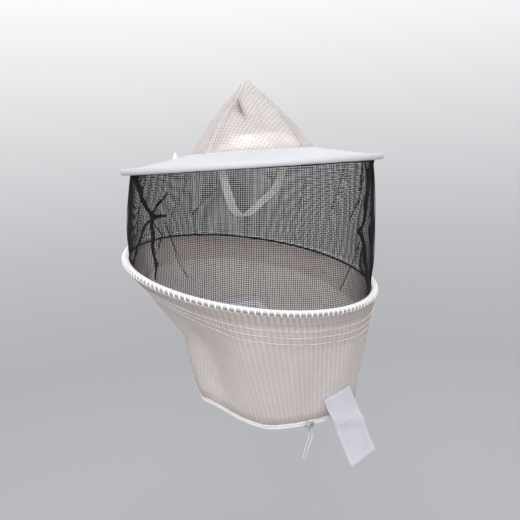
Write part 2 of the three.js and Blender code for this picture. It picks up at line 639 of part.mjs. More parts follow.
// ---------------------------------------------------------------- assembly
const hood = new THREE.Group();
const hat = new THREE.Group();
const strap = new THREE.Group();
const hoop = new THREE.Group();
const neck = new THREE.Group();
hood.add(hat, strap, hoop, neck);
makeCrown(hat);
makeBrim(hat);
makeChinStrap(strap, hat);
makeVeil(hat);
makeHoop(hoop);
makeNeckZip(neck);
makeSlider(neck);
makeFlap(neck);

export default hood;
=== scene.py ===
import math

import bpy
import numpy as np
from mathutils import Matrix, Vector


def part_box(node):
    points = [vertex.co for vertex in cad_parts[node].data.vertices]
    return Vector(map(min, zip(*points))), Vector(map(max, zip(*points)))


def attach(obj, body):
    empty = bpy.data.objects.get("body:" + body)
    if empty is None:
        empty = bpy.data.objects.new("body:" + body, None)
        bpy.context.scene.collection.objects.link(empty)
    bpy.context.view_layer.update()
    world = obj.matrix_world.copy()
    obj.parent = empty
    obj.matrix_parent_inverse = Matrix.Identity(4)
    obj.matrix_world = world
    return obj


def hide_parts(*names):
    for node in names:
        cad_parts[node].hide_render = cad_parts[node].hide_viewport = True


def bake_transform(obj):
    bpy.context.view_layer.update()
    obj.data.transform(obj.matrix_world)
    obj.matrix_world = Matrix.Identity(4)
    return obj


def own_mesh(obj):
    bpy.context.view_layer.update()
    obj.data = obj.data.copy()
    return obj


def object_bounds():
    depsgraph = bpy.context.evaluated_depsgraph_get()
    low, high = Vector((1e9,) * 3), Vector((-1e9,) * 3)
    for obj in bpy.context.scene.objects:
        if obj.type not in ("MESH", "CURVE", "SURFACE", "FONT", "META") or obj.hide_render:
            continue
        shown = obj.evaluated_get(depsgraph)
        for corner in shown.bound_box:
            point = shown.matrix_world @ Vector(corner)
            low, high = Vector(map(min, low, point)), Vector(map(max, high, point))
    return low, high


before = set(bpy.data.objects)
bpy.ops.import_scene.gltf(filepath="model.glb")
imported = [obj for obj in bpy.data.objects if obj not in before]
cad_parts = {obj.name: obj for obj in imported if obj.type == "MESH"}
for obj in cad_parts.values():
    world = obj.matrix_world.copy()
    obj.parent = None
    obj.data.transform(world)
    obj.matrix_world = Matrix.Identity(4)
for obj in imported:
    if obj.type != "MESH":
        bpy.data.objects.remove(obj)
CAD_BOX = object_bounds()

# The looks of a round beekeeping hood. Metres, +Z up, front towards -Y, wearer's left towards +X.
# Angles run from front, positive towards the wearer's left.

# ------------------------------------------------------------------ sizes
GAP = 0.0003
BRIM_RADIUS = float(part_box("brim_binding")[1][0])
CROWN_RADIUS = 0.1075
CROWN_HEIGHT = 0.119
CROWN_BULGE = 0.0055
CROWN_PEAK = CROWN_HEIGHT - 0.004
CROWN_WALL = 0.0026
BRIM_SLOPE = 0.020 / 0.1125
BRIM_THICK = 0.0042
PIPE_RADIUS = 0.0052
PIPE_LINE = BRIM_RADIUS - PIPE_RADIUS
BRIM_HOLE = 0.103
VEIL_RADIUS = 0.204
TAPE_WALL = 0.0011
TAPE_HEIGHT = 0.006

HOOP_CENTRE = np.array([0.0, 0.0174, -0.199])
HOOP_TILT = math.radians(14.35)
HOOP_RADIUS = 0.2147
CASING_RADIUS = 0.0056
FACING_HEIGHT = 0.050
SKIRT_TOP_RADIUS = 0.2175
SKIRT_WALL = 0.0026

NECK_RADIUS = 0.139
NECK_CENTRE_Y = -0.012
NECK_FRONT_Z = -0.432
# the zip's edge rises in two stages: (degrees from front where it starts and ends, height)
NECK_RISES = ((50, 102, 0.036), (102, 138, 0.112))
ZIP_TAPE_TOP = 0.017

SLIDER_ANGLE = math.radians(-28)
SLIDER_LENGTH = 0.015
SLIDER_OUT = 0.0038
PULL_LENGTH = 0.012
CORD_DIAMETER = 0.002
CORD_DROP = 0.042
CORD_LEAN = -0.013

CELL_WIDTH, CELL_HEIGHT = 0.0084, 0.0049      # one cell of the skirt's ventilated fabric
CROWN_CELL = 0.0062
NET_THREAD = 0.00044              # radius of a net thread
TAU = 2 * math.pi


def ring(radius, angle, z):
    """Points at an angle from front on a level circle round Z."""
    radius, angle, z = np.broadcast_arrays(radius, angle, z)
    return np.stack([radius * np.sin(angle), -radius * np.cos(angle), z], axis=-1).astype(float)


def hoop_at(radius, angle, z):
    """The same on the tilted hoop's own axes."""
    point = ring(radius, angle, z)
    y, up = point[..., 1].copy(), point[..., 2].copy()
    point[..., 1] = y * math.cos(HOOP_TILT) - up * math.sin(HOOP_TILT)
    point[..., 2] = y * math.sin(HOOP_TILT) + up * math.cos(HOOP_TILT)
    return point + HOOP_CENTRE


def neck_height(angle):
    turn = np.degrees(np.abs((np.asarray(angle) + 3 * math.pi) % TAU - math.pi))
    height = NECK_FRONT_Z
    for start, end, rise in NECK_RISES:
        share = np.clip((turn - start) / (end - start), 0, 1)
        height = height + rise * share * share * (3 - 2 * share)
    return height


def neck_at(angle, out, up):
    point = ring(NECK_RADIUS + out, angle, neck_height(angle) + up)
    point[..., 1] += NECK_CENTRE_Y
    return point


def mix(a, b, share):
    share = np.asarray(share, dtype=float)[..., None]
    return a * (1 - share) + b * share


def bump(x, centre, width):
    """A smooth hill, one at its centre."""
    return np.exp(-((x - centre) / width) ** 2)


def turn_from(angle, centre):
    """Signed turn between two angles, within half a turn."""
    return (angle - centre + math.pi) % TAU - math.pi


def brim_top(radius):
    return -(radius - CROWN_RADIUS) * BRIM_SLOPE


def brim_under(radius):
    return brim_top(radius) - BRIM_THICK


def placed_object(name, data):
    made = bpy.data.objects.new(name, data)
    bpy.context.collection.objects.link(made)
    return made


# ------------------------------------------------------------------ camera
VIEW_AZIMUTH = math.radians(-50.8)
VIEW_DISTANCE = 1.3
VIEW_HEIGHT = -0.02
VIEW_ROLL = math.radians(3.7)
FOCAL = 766 / 520                 # focal length over frame width
AIM_RIGHT, AIM_DOWN = 8 / 520, 96.5 / 520     # frame centre from the level line of sight


def make_camera():
    sine, cosine = math.sin(VIEW_AZIMUTH), math.cos(VIEW_AZIMUTH)
    place = Vector((sine * VIEW_DISTANCE, -cosine * VIEW_DISTANCE, VIEW_HEIGHT))
    level = Vector((-sine, cosine, 0))
    side, up = Vector((cosine, sine, 0)), Vector((0, 0, 1))
    frame_right = side * math.cos(VIEW_ROLL) - up * math.sin(VIEW_ROLL)
    frame_down = -side * math.sin(VIEW_ROLL) - up * math.cos(VIEW_ROLL)
    forward = (level * FOCAL + frame_right * AIM_RIGHT + frame_down * AIM_DOWN).normalized()
    right = (frame_right - forward * frame_right.dot(forward)).normalized()
    above = right.cross(forward)
    data = bpy.data.cameras.new("camera")
    data.sensor_width = 36
    data.lens = FOCAL * 36
    camera = placed_object("camera", data)
    turn = Matrix((right, above, -forward)).transposed().to_4x4()
    camera.matrix_world = Matrix.Translation(place) @ turn
    bpy.context.scene.camera = camera


make_camera()


# ------------------------------------------------------------------ node helpers
def group_tree(name, kind, inputs, outputs):
    """A node group with sockets given as (name, type), and a default where one is wanted."""
    tree = bpy.data.node_groups.new(name, kind)
    for way, sockets in (("INPUT", inputs), ("OUTPUT", outputs)):
        for label, socket_type, *default in sockets:
            socket = tree.interface.new_socket(label, in_out=way,
                                               socket_type="NodeSocket" + socket_type)
            if default:
                socket.default_value = default[0]
    start = tree.nodes.new("NodeGroupInput")
    end = tree.nodes.new("NodeGroupOutput")
    return tree, start, end


def fill(tree, node, links):
    """Links an input to a socket, or sets it to a plain value."""
    for key, value in links.items():
        if isinstance(value, bpy.types.NodeSocket):
            tree.links.new(value, node.inputs[key])
        else:
            node.inputs[key].default_value = value
    return node


def add(tree, kind, links=None, **settings):
    """Adds a node, sets its properties and links or fills its inputs."""
    node = tree.nodes.new(kind)
    for key, value in settings.items():
        setattr(node, key, value)
    return fill(tree, node, links or {})


def math_node(tree, operation, a, b=0.0):
    return add(tree, "ShaderNodeMath", {0: a, 1: b}, operation=operation).outputs[0]


def woven_grid():
    """Square cells on a cloth's own map in metres: 0 on the yarns, 1 in the middle of a cell."""
    tree, start, end = group_tree("woven_grid", "ShaderNodeTree",
        inputs=[("Map", "Vector"), ("Pitch", "Float", 0.001), ("Sharpness", "Float", 1.0)],
        outputs=[("Cell", "Float"), ("Yarn", "Float")])
    split = add(tree, "ShaderNodeSeparateXYZ", {0: start.outputs["Map"]})
    waves = []
    for axis in ("X", "Y"):
        turns = math_node(tree, "DIVIDE", split.outputs[axis], start.outputs["Pitch"])
        sine = math_node(tree, "SINE", math_node(tree, "MULTIPLY", turns, math.pi))
        waves.append(math_node(tree, "ABSOLUTE", sine))
    cell = math_node(tree, "MULTIPLY", waves[0], waves[1])
    sharp = math_node(tree, "POWER", cell, start.outputs["Sharpness"])
    tree.links.new(sharp, end.inputs["Cell"])
    tree.links.new(math_node(tree, "SUBTRACT", 1.0, sharp), end.inputs["Yarn"])
    return tree


def soft_patches():
    """Slow, cloudy variation of shade over a cloth."""
    tree, start, end = group_tree("soft_patches", "ShaderNodeTree",
        inputs=[("Place", "Vector"), ("Size", "Float", 0.05), ("Low", "Float", 0.35),
                ("High", "Float", 0.65)],
        outputs=[("Patch", "Float")])
    scale = math_node(tree, "DIVIDE", 1.0, start.outputs["Size"])
    noise = add(tree, "ShaderNodeTexNoise", {"Vector": start.outputs["Place"], "Scale": scale,
                                             "Detail": 3.0, "Roughness": 0.55})
    spread = add(tree, "ShaderNodeMapRange", {"Value": noise.outputs["Fac"],
                                              "From Min": start.outputs["Low"],
                                              "From Max": start.outputs["High"]})
    tree.links.new(spread.outputs["Result"], end.inputs["Patch"])
    return tree


WOVEN_GRID = woven_grid()
SOFT_PATCHES = soft_patches()


def principled(name, color, roughness, **sockets):
    material = bpy.data.materials.new(name)
    material.use_nodes = True
    tree = material.node_tree
    shader = tree.nodes["Principled BSDF"]
    shader.inputs["Base Color"].default_value = (*color, 1)
    shader.inputs["Roughness"].default_value = roughness
    for key, value in sockets.items():
        shader.inputs[key.replace("_", " ")].default_value = value
    return material, tree, shader


def placed_group(tree, group, links):
    return fill(tree, add(tree, "ShaderNodeGroup", node_tree=group), links)


def blend_colors(tree, factor, first, second):
    first, second = ((*color, 1) if isinstance(color, tuple) else color
                     for color in (first, second))
    node = add(tree, "ShaderNodeMix", data_type="RGBA")
    return fill(tree, node, {"Factor": factor, "A": first, "B": second}).outputs["Result"]


def bump_into(tree, shader, height, distance, strength=1.0):
    node = add(tree, "ShaderNodeBump",
               {"Height": height, "Distance": distance, "Strength": strength})
    tree.links.new(node.outputs["Normal"], shader.inputs["Normal"])


def cloth_material(name, yarn, hollow, patch, pitch, relief, roughness,
                   patch_size=0.06, sharp=1.0, patch_amount=0.5, sheen=0.3, glow=0.0,
                   mask=None):
    """Woven or knitted cloth: yarn and hollow colours on its grid, cloudy patches, and relief."""
    material, tree, shader = principled(name, yarn, roughness, Sheen_Weight=sheen,
                                        Sheen_Roughness=0.5)
    shader.inputs["Specular IOR Level"].default_value = 0.25
    coords = add(tree, "ShaderNodeTexCoord")
    own_map = add(tree, "ShaderNodeUVMap", uv_map="cloth").outputs["UV"]
    grid = placed_group(tree, WOVEN_GRID, {"Map": own_map, "Pitch": pitch, "Sharpness": sharp})
    clouds = placed_group(tree, SOFT_PATCHES, {"Place": coords.outputs["Object"],
                                               "Size": patch_size})
    tinted = blend_colors(tree, math_node(tree, "MULTIPLY", clouds.outputs["Patch"], patch_amount),
                          yarn, patch)
    color = blend_colors(tree, grid.outputs["Cell"], tinted, hollow)
    # the mask darkens the colour by the named point attribute, mostly painted shade
    if mask:
        shaded = add(tree, "ShaderNodeAttribute", attribute_name=mask[0])
        color = blend_colors(tree, shaded.outputs["Fac"], color, mask[1])
    tree.links.new(color, shader.inputs["Base Color"])
    fuzz = add(tree, "ShaderNodeTexNoise", {"Vector": coords.outputs["Object"], "Scale": 1800.0,
                                            "Detail": 2.0})
    shaped = math_node(tree, "ADD", grid.outputs["Yarn"],
                       math_node(tree, "MULTIPLY", fuzz.outputs["Fac"], 0.4))
    bump_into(tree, shader, shaped, relief)
    if glow:
        # light passes through the thin layers
        pale = blend_colors(tree, 0.5, color, (1.0, 0.97, 0.955))
        through = add(tree, "ShaderNodeBsdfTranslucent", {"Color": pale})
        both = add(tree, "ShaderNodeMixShader", {0: glow, 1: shader.outputs["BSDF"],
                                                 2: through.outputs["BSDF"]})
        tree.links.new(both.outputs["Shader"], tree.nodes["Material Output"].inputs["Surface"])
    return material


def plain_material(name, color, roughness, grain=600.0, relief=0.0002, shade=0.06, **sockets):
    """A moulded or metal surface with fine grain and a little variation of shade."""
    material, tree, shader = principled(name, color, roughness, **sockets)
    coords = add(tree, "ShaderNodeTexCoord")
    clouds = placed_group(tree, SOFT_PATCHES, {"Place": coords.outputs["Object"], "Size": 0.02})
    darker = tuple(c * (1 - shade * 3) for c in color)
    tree.links.new(blend_colors(tree, clouds.outputs["Patch"], color, darker),
                   shader.inputs["Base Color"])
    fine = add(tree, "ShaderNodeTexNoise", {"Vector": coords.outputs["Object"], "Scale": grain,
                                            "Detail": 3.0})
    rough = add(tree, "ShaderNodeMapRange", {"Value": fine.outputs["Fac"],
                                             "To Min": max(roughness - 0.08, 0.02),
                                             "To Max": roughness + 0.1})
    tree.links.new(rough.outputs["Result"], shader.inputs["Roughness"])
    bump_into(tree, shader, fine.outputs["Fac"], relief, 0.4)
    return material


CREAM = (0.82, 0.785, 0.765)
PINK_SHADE = (0.75, 0.68, 0.665)
HOLLOW = (0.60, 0.56, 0.545)
FOLD_SHADE = (0.38, 0.32, 0.31)
VENTILATED = cloth_material("ventilated_cloth", CREAM, HOLLOW, PINK_SHADE, CELL_HEIGHT, 0.0008,
                            0.92, patch_size=0.05, sharp=1.3, patch_amount=0.5, glow=0.66,
                            mask=("shade", FOLD_SHADE))
# crown cloth: its shade attribute paints shade, in this dark brown, into the pinched fold
CROWN_CLOTH = cloth_material("crown_ventilated_cloth", (0.93, 0.91, 0.90), (0.60, 0.54, 0.52),
                             PINK_SHADE, CROWN_CELL, 0.0010, 0.92, patch_size=0.03, sharp=1.2,
                             patch_amount=0.45, glow=0.55, mask=("shade", (0.34, 0.27, 0.26)))
# rim cloth: its shade attribute paints shade, in this near black, into the casing's lower outer
# dents
RIM_CLOTH = cloth_material("rim_cloth", (0.88, 0.86, 0.845), (0.66, 0.63, 0.625),
                           (0.80, 0.75, 0.73), 0.0024, 0.0004, 0.9, patch_size=0.03, sharp=1.4,
                           mask=("shade", (0.22, 0.21, 0.22)))
WHITE_COTTON = cloth_material("white_cotton", (0.54, 0.54, 0.56), (0.50, 0.50, 0.53),
                              (0.49, 0.49, 0.53), 0.0006, 0.00006, 0.62, patch_size=0.08,
                              patch_amount=0.4, sheen=0.15)
TAB_COTTON = cloth_material("tab_cotton", (0.93, 0.93, 0.94), (0.84, 0.84, 0.86),
                            (0.86, 0.86, 0.88), 0.0008, 0.0001, 0.8, patch_size=0.02)
CORE_CLOTH = cloth_material("brim_core_felt", (0.7, 0.7, 0.7), (0.55, 0.55, 0.55),
                            (0.6, 0.6, 0.6), 0.002, 0.0003, 0.95)
BLACK_TAPE = cloth_material("black_tape", (0.014, 0.014, 0.016), (0.004, 0.004, 0.005),
                            (0.022, 0.022, 0.025), 0.0009, 0.0002, 0.8, patch_size=0.02, sheen=0.2)
ELASTIC = cloth_material("knitted_elastic", (0.96, 0.94, 0.90), (0.84, 0.81, 0.77),
                         (0.90, 0.87, 0.83), 0.0016, 0.0003, 0.85, patch_size=0.02)
FLAP_CLOTH = cloth_material("flap_cloth", (0.50, 0.485, 0.53), (0.45, 0.435, 0.485),
                            (0.45, 0.435, 0.485), 0.0008, 0.0001, 0.8, patch_size=0.03, sheen=0.25)
HOOK_PILE = cloth_material("hook_pile", (0.76, 0.74, 0.82), (0.55, 0.53, 0.60),
                           (0.70, 0.68, 0.76), 0.0018, 0.0006, 0.9, patch_size=0.01)
ZIP_CLOTH = cloth_material("zip_tape_weave", (0.82, 0.82, 0.84), (0.66, 0.66, 0.68),
                           (0.76, 0.75, 0.77), 0.0012, 0.0002, 0.75, patch_size=0.03)
SEAM_THREAD = plain_material("white_thread", (0.95, 0.93, 0.92), 0.7, grain=2500.0, relief=0.0003)
NET_YARN = plain_material("black_net_yarn", (0.008, 0.008, 0.009), 0.7, grain=2500.0,
                          relief=0.0002, shade=0.1, **{"Specular IOR Level": 0.2})
STEEL = plain_material("plated_steel", (0.66, 0.67, 0.70), 0.28, Metallic=1.0)
NYLON = plain_material("white_nylon", (0.84, 0.84, 0.86), 0.4, relief=0.0001, shade=0.03)
CORD_NYLON = plain_material("cord_nylon", (0.56, 0.56, 0.60), 0.35, grain=1500.0, relief=0.0004,
                            shade=0.05)


# ------------------------------------------------------------------ mesh helpers
def surface(mesh, material):
    """Gives a mesh its one material and smooth shading."""
    mesh.materials.clear()
    mesh.materials.append(material)
    mesh.polygons.foreach_set("use_smooth", [True] * len(mesh.polygons))


def link_object(name, mesh, material):
    made = placed_object(name, mesh)
    surface(mesh, material)
    return made


def quad_mesh(name, points, cloth_map, material, wraps, corners):
    """Quads over points[column][row], each with its corners as steps of (column, row)."""
    columns, rows = points.shape[:2]
    i = np.arange(columns if wraps[0] else columns - 1)[:, None]
    j = np.arange(rows if wraps[1] else rows - 1)[None, :]
    quads = np.stack([(i + di) % columns * rows + (j + dj) % rows for di, dj in corners], axis=-1)
    mesh = bpy.data.meshes.new(name)
    mesh.from_pydata(points.reshape(-1, 3).tolist(), [], quads.reshape(-1, 4).tolist())
    uv = mesh.uv_layers.new(name="cloth")
    places = np.stack([cloth_map[i + di, j + dj] for di, dj in corners], axis=2)
    uv.data.foreach_set("uv", places.reshape(-1))
    return link_object(name, mesh, material)


def cloth_mesh(name, points, cloth_map, material, closed=False):
    """A sheet whose rows run down, with its outer face out."""
    return quad_mesh(name, points, cloth_map, material, (closed, False),
                     ((0, 0), (0, 1), (1, 1), (1, 0)))


def tube_mesh(name, points, cloth_map, material):
    """A closed ring of cloth, joined to itself both ways."""
    return quad_mesh(name, points, cloth_map, material, (True, True),
                     ((0, 0), (1, 0), (1, 1), (0, 1)))


def store_mask(piece, values):
    """Keeps how far each point is darkened: painted shade in dents, folds and tucks, and dark lines
    along seams.
    """
    shade = piece.data.attributes.new("shade", "FLOAT", "POINT")
    shade.data.foreach_set("value", np.ascontiguousarray(values, dtype=np.float32).reshape(-1))


def plain_mesh(piece):
    """The piece's mesh as its modifiers or its curve make it."""
    bpy.context.view_layer.update()
    graph = bpy.context.evaluated_depsgraph_get()
    return bpy.data.meshes.new_from_object(piece.evaluated_get(graph))


def settle(piece):
    """Turns the piece's modifiers into a plain mesh."""
    done = plain_mesh(piece)
    piece.modifiers.clear()
    piece.data = done
    return piece


def thicken(piece, wall):
    """Gives a sheet its wall, inwards from its outer face."""
    solid = piece.modifiers.new("wall", "SOLIDIFY")
    solid.thickness = wall
    solid.offset = -1
    return settle(piece)


def grid(columns, rows):
    """Two arrays of shares, across and down."""
    return np.meshgrid(np.linspace(0, 1, columns), np.linspace(0, 1, rows), indexing="ij")


def ring_band(name, place, width, material, wall, columns=288, rows=5):
    """A closed band of cloth; place(angle, share) gives its outer face."""
    across, down = grid(columns + 1, rows)
    angle = across * TAU
    points = place(angle[:-1], down[:-1])
    girth = TAU * float(np.mean(np.linalg.norm(points[:, 0, :2], axis=-1)))
    cloth_map = np.stack([across * girth, down * width], axis=-1)
    return thicken(cloth_mesh(name, points, cloth_map, material, closed=True), wall)


def round_bar(name, points, radius, material, sides=8, closed=False, taper=1.0):
    """A round bar along points, made from a curve and kept as a mesh; taper scales its far end."""
    curve = bpy.data.curves.new(name, "CURVE")
    curve.dimensions = "3D"
    spline = curve.splines.new("POLY")
    spline.points.add(len(points) - 1)
    spline.points.foreach_set("co", np.c_[points, np.ones(len(points))].reshape(-1))
    spline.points.foreach_set("radius", np.linspace(1, taper, len(points)))
    spline.use_cyclic_u = closed
    curve.bevel_depth = radius
    curve.bevel_resolution = max(sides // 4 - 1, 0)
    curve.use_fill_caps = not closed
    rod = placed_object(name, curve)
    mesh = plain_mesh(rod)
    bpy.data.objects.remove(rod)
    return link_object(name, mesh, material)


def joined(name, pieces):
    """Joins several meshes of one body into one piece."""
    with bpy.context.temp_override(active_object=pieces[0], object=pieces[0],
                                   selected_editable_objects=pieces, selected_objects=pieces):
        bpy.ops.object.join()
    pieces[0].name = name
    return pieces[0]


# ------------------------------------------------------------------ geometry-node trees
def ended(tree, made, material, outlet):
    """Makes a tree's instances real, gives them their material and puts them out."""
    real = add(tree, "GeometryNodeRealizeInstances", {"Geometry": made})
    painted = add(tree, "GeometryNodeSetMaterial", {"Geometry": real.outputs["Geometry"],
                                                    "Material": material})
    tree.links.new(painted.outputs["Geometry"], outlet)
    return tree


def tube_along(tree, curve, profile, caps=False):
    return add(tree, "GeometryNodeCurveToMesh", {
        "Curve": curve, "Profile Curve": profile, "Fill Caps": caps}).outputs["Mesh"]


def circle_profile(tree, resolution, radius):
    return add(tree, "GeometryNodeCurvePrimitiveCircle",
               {"Resolution": resolution, "Radius": radius}).outputs["Curve"]


def points_along(tree, path, pitch, axis):
    """Points at a pitch along an edge path, and the turn that lays an axis along it."""
    curve = add(tree, "GeometryNodeMeshToCurve", {"Mesh": path})
    spaced = add(tree, "GeometryNodeResampleCurve",
                 {"Curve": curve.outputs["Curve"], "Length": pitch}, mode="LENGTH")
    tangent = add(tree, "GeometryNodeInputTangent")
    facing = add(tree, "FunctionNodeAlignRotationToVector", {"Vector": tangent.outputs[0]},
                 axis=axis)
    return spaced.outputs["Curve"], facing.outputs["Rotation"]


def net_threads_tree():
    """Lays a thread along each row and each column of a grid mesh."""
    tree, start, end = group_tree("net_threads", "GeometryNodeTree",
        inputs=[("Net", "Geometry"), ("Thread Radius", "Float", 0.0005), ("Yarn", "Material")],
        outputs=[("Threads", "Geometry")])
    along = add(tree, "GeometryNodeInputNamedAttribute", {"Name": "runs_down"}, data_type="BOOLEAN")
    runs_down = [s for s in along.outputs if s.name == "Attribute" and s.enabled][0]
    runs_round = add(tree, "FunctionNodeBooleanMath", {0: runs_down}, operation="NOT").outputs[0]
    profile = circle_profile(tree, 3, start.outputs["Thread Radius"])
    join = add(tree, "GeometryNodeJoinGeometry")
    for chosen in (runs_round, runs_down):
        curve = add(tree, "GeometryNodeMeshToCurve",
                    {"Mesh": start.outputs["Net"], "Selection": chosen})
        tree.links.new(tube_along(tree, curve.outputs["Curve"], profile, caps=True),
                       join.inputs["Geometry"])
    return ended(tree, join.outputs["Geometry"], start.outputs["Yarn"], end.inputs["Threads"])


def stitch_row_tree():
    """Sets one short thread after another along an edge path."""
    tree, start, end = group_tree("stitch_row", "GeometryNodeTree",
        inputs=[("Path", "Geometry"), ("Pitch", "Float", 0.004), ("Length", "Float", 0.003),
                ("Thread Radius", "Float", 0.0005), ("Thread", "Material")],
        outputs=[("Stitches", "Geometry")])
    spaced, facing = points_along(tree, start.outputs["Path"], start.outputs["Pitch"], "X")
    capsule = add(tree, "GeometryNodeMeshUVSphere", {"Segments": 6, "Rings": 4, "Radius": 1.0})
    size = add(tree, "ShaderNodeCombineXYZ", {
        "X": math_node(tree, "MULTIPLY", start.outputs["Length"], 0.5),
        "Y": start.outputs["Thread Radius"], "Z": start.outputs["Thread Radius"]})
    placed = add(tree, "GeometryNodeInstanceOnPoints",
                 {"Points": spaced, "Instance": capsule.outputs["Mesh"], "Rotation": facing,
                  "Scale": size.outputs["Vector"]})
    return ended(tree, placed.outputs["Instances"], start.outputs["Thread"], end.inputs["Stitches"])


def whip_stitch_tree():
    """Wraps an arc of thread over a round edge at equal turns round Z; what comes in is dropped."""
    tree, start, end = group_tree("whip_stitches", "GeometryNodeTree",
        inputs=[("Start", "Geometry"), ("Ring Radius", "Float", 0.2147), ("Count", "Int", 140),
                ("Wrap Radius", "Float", 0.0056), ("Thread Radius", "Float", 0.0008),
                ("Lean", "Float", 0.3), ("Thread", "Material")],
        outputs=[("Stitches", "Geometry")])
    circle = circle_profile(tree, start.outputs["Count"], start.outputs["Ring Radius"])
    arc = add(tree, "GeometryNodeCurveArc",
              {"Resolution": 9, "Radius": start.outputs["Wrap Radius"],
               "Start Angle": math.radians(-75), "Sweep Angle": math.radians(235)})
    tube = tube_along(tree, arc.outputs["Curve"],
                      circle_profile(tree, 6, start.outputs["Thread Radius"]), caps=True)
    upright = add(tree, "GeometryNodeTransform",
                  {"Geometry": tube, "Rotation": (math.pi / 2, 0, 0)})
    index = add(tree, "GeometryNodeInputIndex")
    turns = math_node(tree, "DIVIDE", index.outputs[0], start.outputs["Count"])
    around = math_node(tree, "MULTIPLY", turns, TAU)
    rotation = add(tree, "ShaderNodeCombineXYZ", {"X": start.outputs["Lean"], "Z": around})
    placed = add(tree, "GeometryNodeInstanceOnPoints",
                 {"Points": circle, "Instance": upright.outputs["Geometry"],
                  "Rotation": rotation.outputs["Vector"]})
    return ended(tree, placed.outputs["Instances"], start.outputs["Thread"], end.inputs["Stitches"])


def coil_tree():
    """Winds a zip's coil round an edge path, one turn after another."""
    tree, start, end = group_tree("zip_coil_turns", "GeometryNodeTree",
        inputs=[("Path", "Geometry"), ("Pitch", "Float", 0.002),
                ("Turn Radius", "Float", 0.0013), ("Wire Radius", "Float", 0.0004),
                ("Wire", "Material")],
        outputs=[("Coil", "Geometry")])
    spaced, facing = points_along(tree, start.outputs["Path"], start.outputs["Pitch"], "Z")
    turn = tube_along(tree, circle_profile(tree, 10, start.outputs["Turn Radius"]),
                      circle_profile(tree, 5, start.outputs["Wire Radius"]))
    leaned = add(tree, "GeometryNodeTransform",
                 {"Geometry": turn, "Rotation": (math.radians(22), 0, 0)})
    placed = add(tree, "GeometryNodeInstanceOnPoints",
                 {"Points": spaced, "Instance": leaned.outputs["Geometry"], "Rotation": facing})
    return ended(tree, placed.outputs["Instances"], start.outputs["Wire"], end.inputs["Coil"])


NET_THREADS = net_threads_tree()
STITCH_ROW = stitch_row_tree()
WHIP_STITCHES = whip_stitch_tree()
ZIP_COIL_TURNS = coil_tree()


def grown(piece, tree, values, material):
    """Runs a geometry-node tree on a piece and keeps the result as a plain mesh."""
    modifier = piece.modifiers.new(tree.name, "NODES")
    modifier.node_group = tree
    for socket in tree.interface.items_tree:
        if socket.item_type == "SOCKET" and socket.name in values:
            modifier[socket.identifier] = values[socket.name]
    mesh = settle(piece).data
    surface(mesh, material)
    mesh.polygons.foreach_set("material_index", [0] * len(mesh.polygons))
    return piece


def edge_path(name, points, closed=False):
    """A string of edges for a tree to follow."""
    count = len(points)
    pairs = [(k, (k + 1) % count) for k in range(count if closed else count - 1)]
    mesh = bpy.data.meshes.new(name)
    mesh.from_pydata(np.asarray(points).tolist(), pairs, [])
    return placed_object(name, mesh)


def stitch_row(name, points, pitch=0.0042, length=0.0032, thread=0.00055, closed=True):
    return grown(edge_path(name, points, closed), STITCH_ROW,
                 {"Pitch": pitch, "Length": length, "Thread Radius": thread,
                  "Thread": SEAM_THREAD}, SEAM_THREAD)


def stitch_rows(name, lines, **stitch):
    """Several rows of stitches as one piece."""
    return joined(name, [stitch_row(name, line, **stitch) for line in lines])


def dress(piece, body, slot, *nodes):
    """Hangs a finished piece on its body, in place of its CAD nodes; its slot is not used."""
    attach(piece, body)
    if nodes:
        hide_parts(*nodes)
    return piece


# ------------------------------------------------------------------ pull cord
def slider_place(x, out, up):
    """A point by the slider: along the zip, outwards from the zip's line, and up."""
    radius = NECK_RADIUS + out
    sine, cosine = math.sin(SLIDER_ANGLE), math.cos(SLIDER_ANGLE)
    return Vector((x * cosine + radius * sine, x * sine - radius * cosine + NECK_CENTRE_Y,
                   NECK_FRONT_Z + up))


CORD_OUT = SLIDER_OUT + GAP + 0.0006
CORD_START = 0.002 - PULL_LENGTH - GAP
CORD_ROUTE = [
    (0.0022, 0.0), (0.0015, 0.28), (0.52 * CORD_LEAN, 0.66), (CORD_LEAN + 0.0026, 0.92),
    (CORD_LEAN, 1.0), (CORD_LEAN - 0.0024, 0.92), (0.86 * CORD_LEAN, 0.62),
    (0.36 * CORD_LEAN, 0.26), (-0.0022, 0.0),
]


def smooth_path(points, per_span=6):
    """A Catmull-Rom curve through points, with ends held."""
    points = [np.array(p) for p in points]
    points = [2 * points[0] - points[1], *points, 2 * points[-1] - points[-2]]
    path = []
    for a, b, c, d in zip(points, points[1:], points[2:], points[3:]):
        for k in range(per_span):
            t = k / per_span
            path.append(0.5 * (2 * b + (c - a) * t + (2 * a - 5 * b + 4 * c - d) * t * t
                               + (3 * b - a - 3 * c + d) * t ** 3))
    path.append(points[-2])
    return np.array(path)


def make_cord():
    route = [slider_place(x, CORD_OUT, CORD_START - share * CORD_DROP) for x, share in CORD_ROUTE]
    path = smooth_path(route, 5)
    cord = round_bar("pull_cord_loop", path, CORD_DIAMETER / 2, CORD_NYLON, sides=12)
    dress(cord, "pull", "white_plastic", "pull_cord")


make_cord()


# ------------------------------------------------------------------ crown
TOPSTITCH_ASIDE = 0.0022          # each row of the crown's topstitching, from its seam
STITCH_PROUD = 0.0004
SEAM_TAPE_TURN = 0.30
PINCH_DEPTH = 0.0125
RIDGE_HEIGHT = 0.0045
WAFFLE_DEPTH = 0.0013


def crown_radius(z):
    return CROWN_RADIUS * (1 - z / CROWN_HEIGHT) + CROWN_BULGE * np.sin(math.pi * z / CROWN_HEIGHT)


def crown_pinch(angle, share):
    """The pinched fold that runs down from beside the peak, 1 along its bottom."""
    middle = np.radians(np.interp(share, (0.25, 0.55), (-88, -57)))
    across = turn_from(angle, middle) * np.maximum(crown_radius((1 - share) * CROWN_PEAK), 0.01)
    return np.exp(-np.abs(across) / 0.0065) * bump(share, 0.41, 0.17)


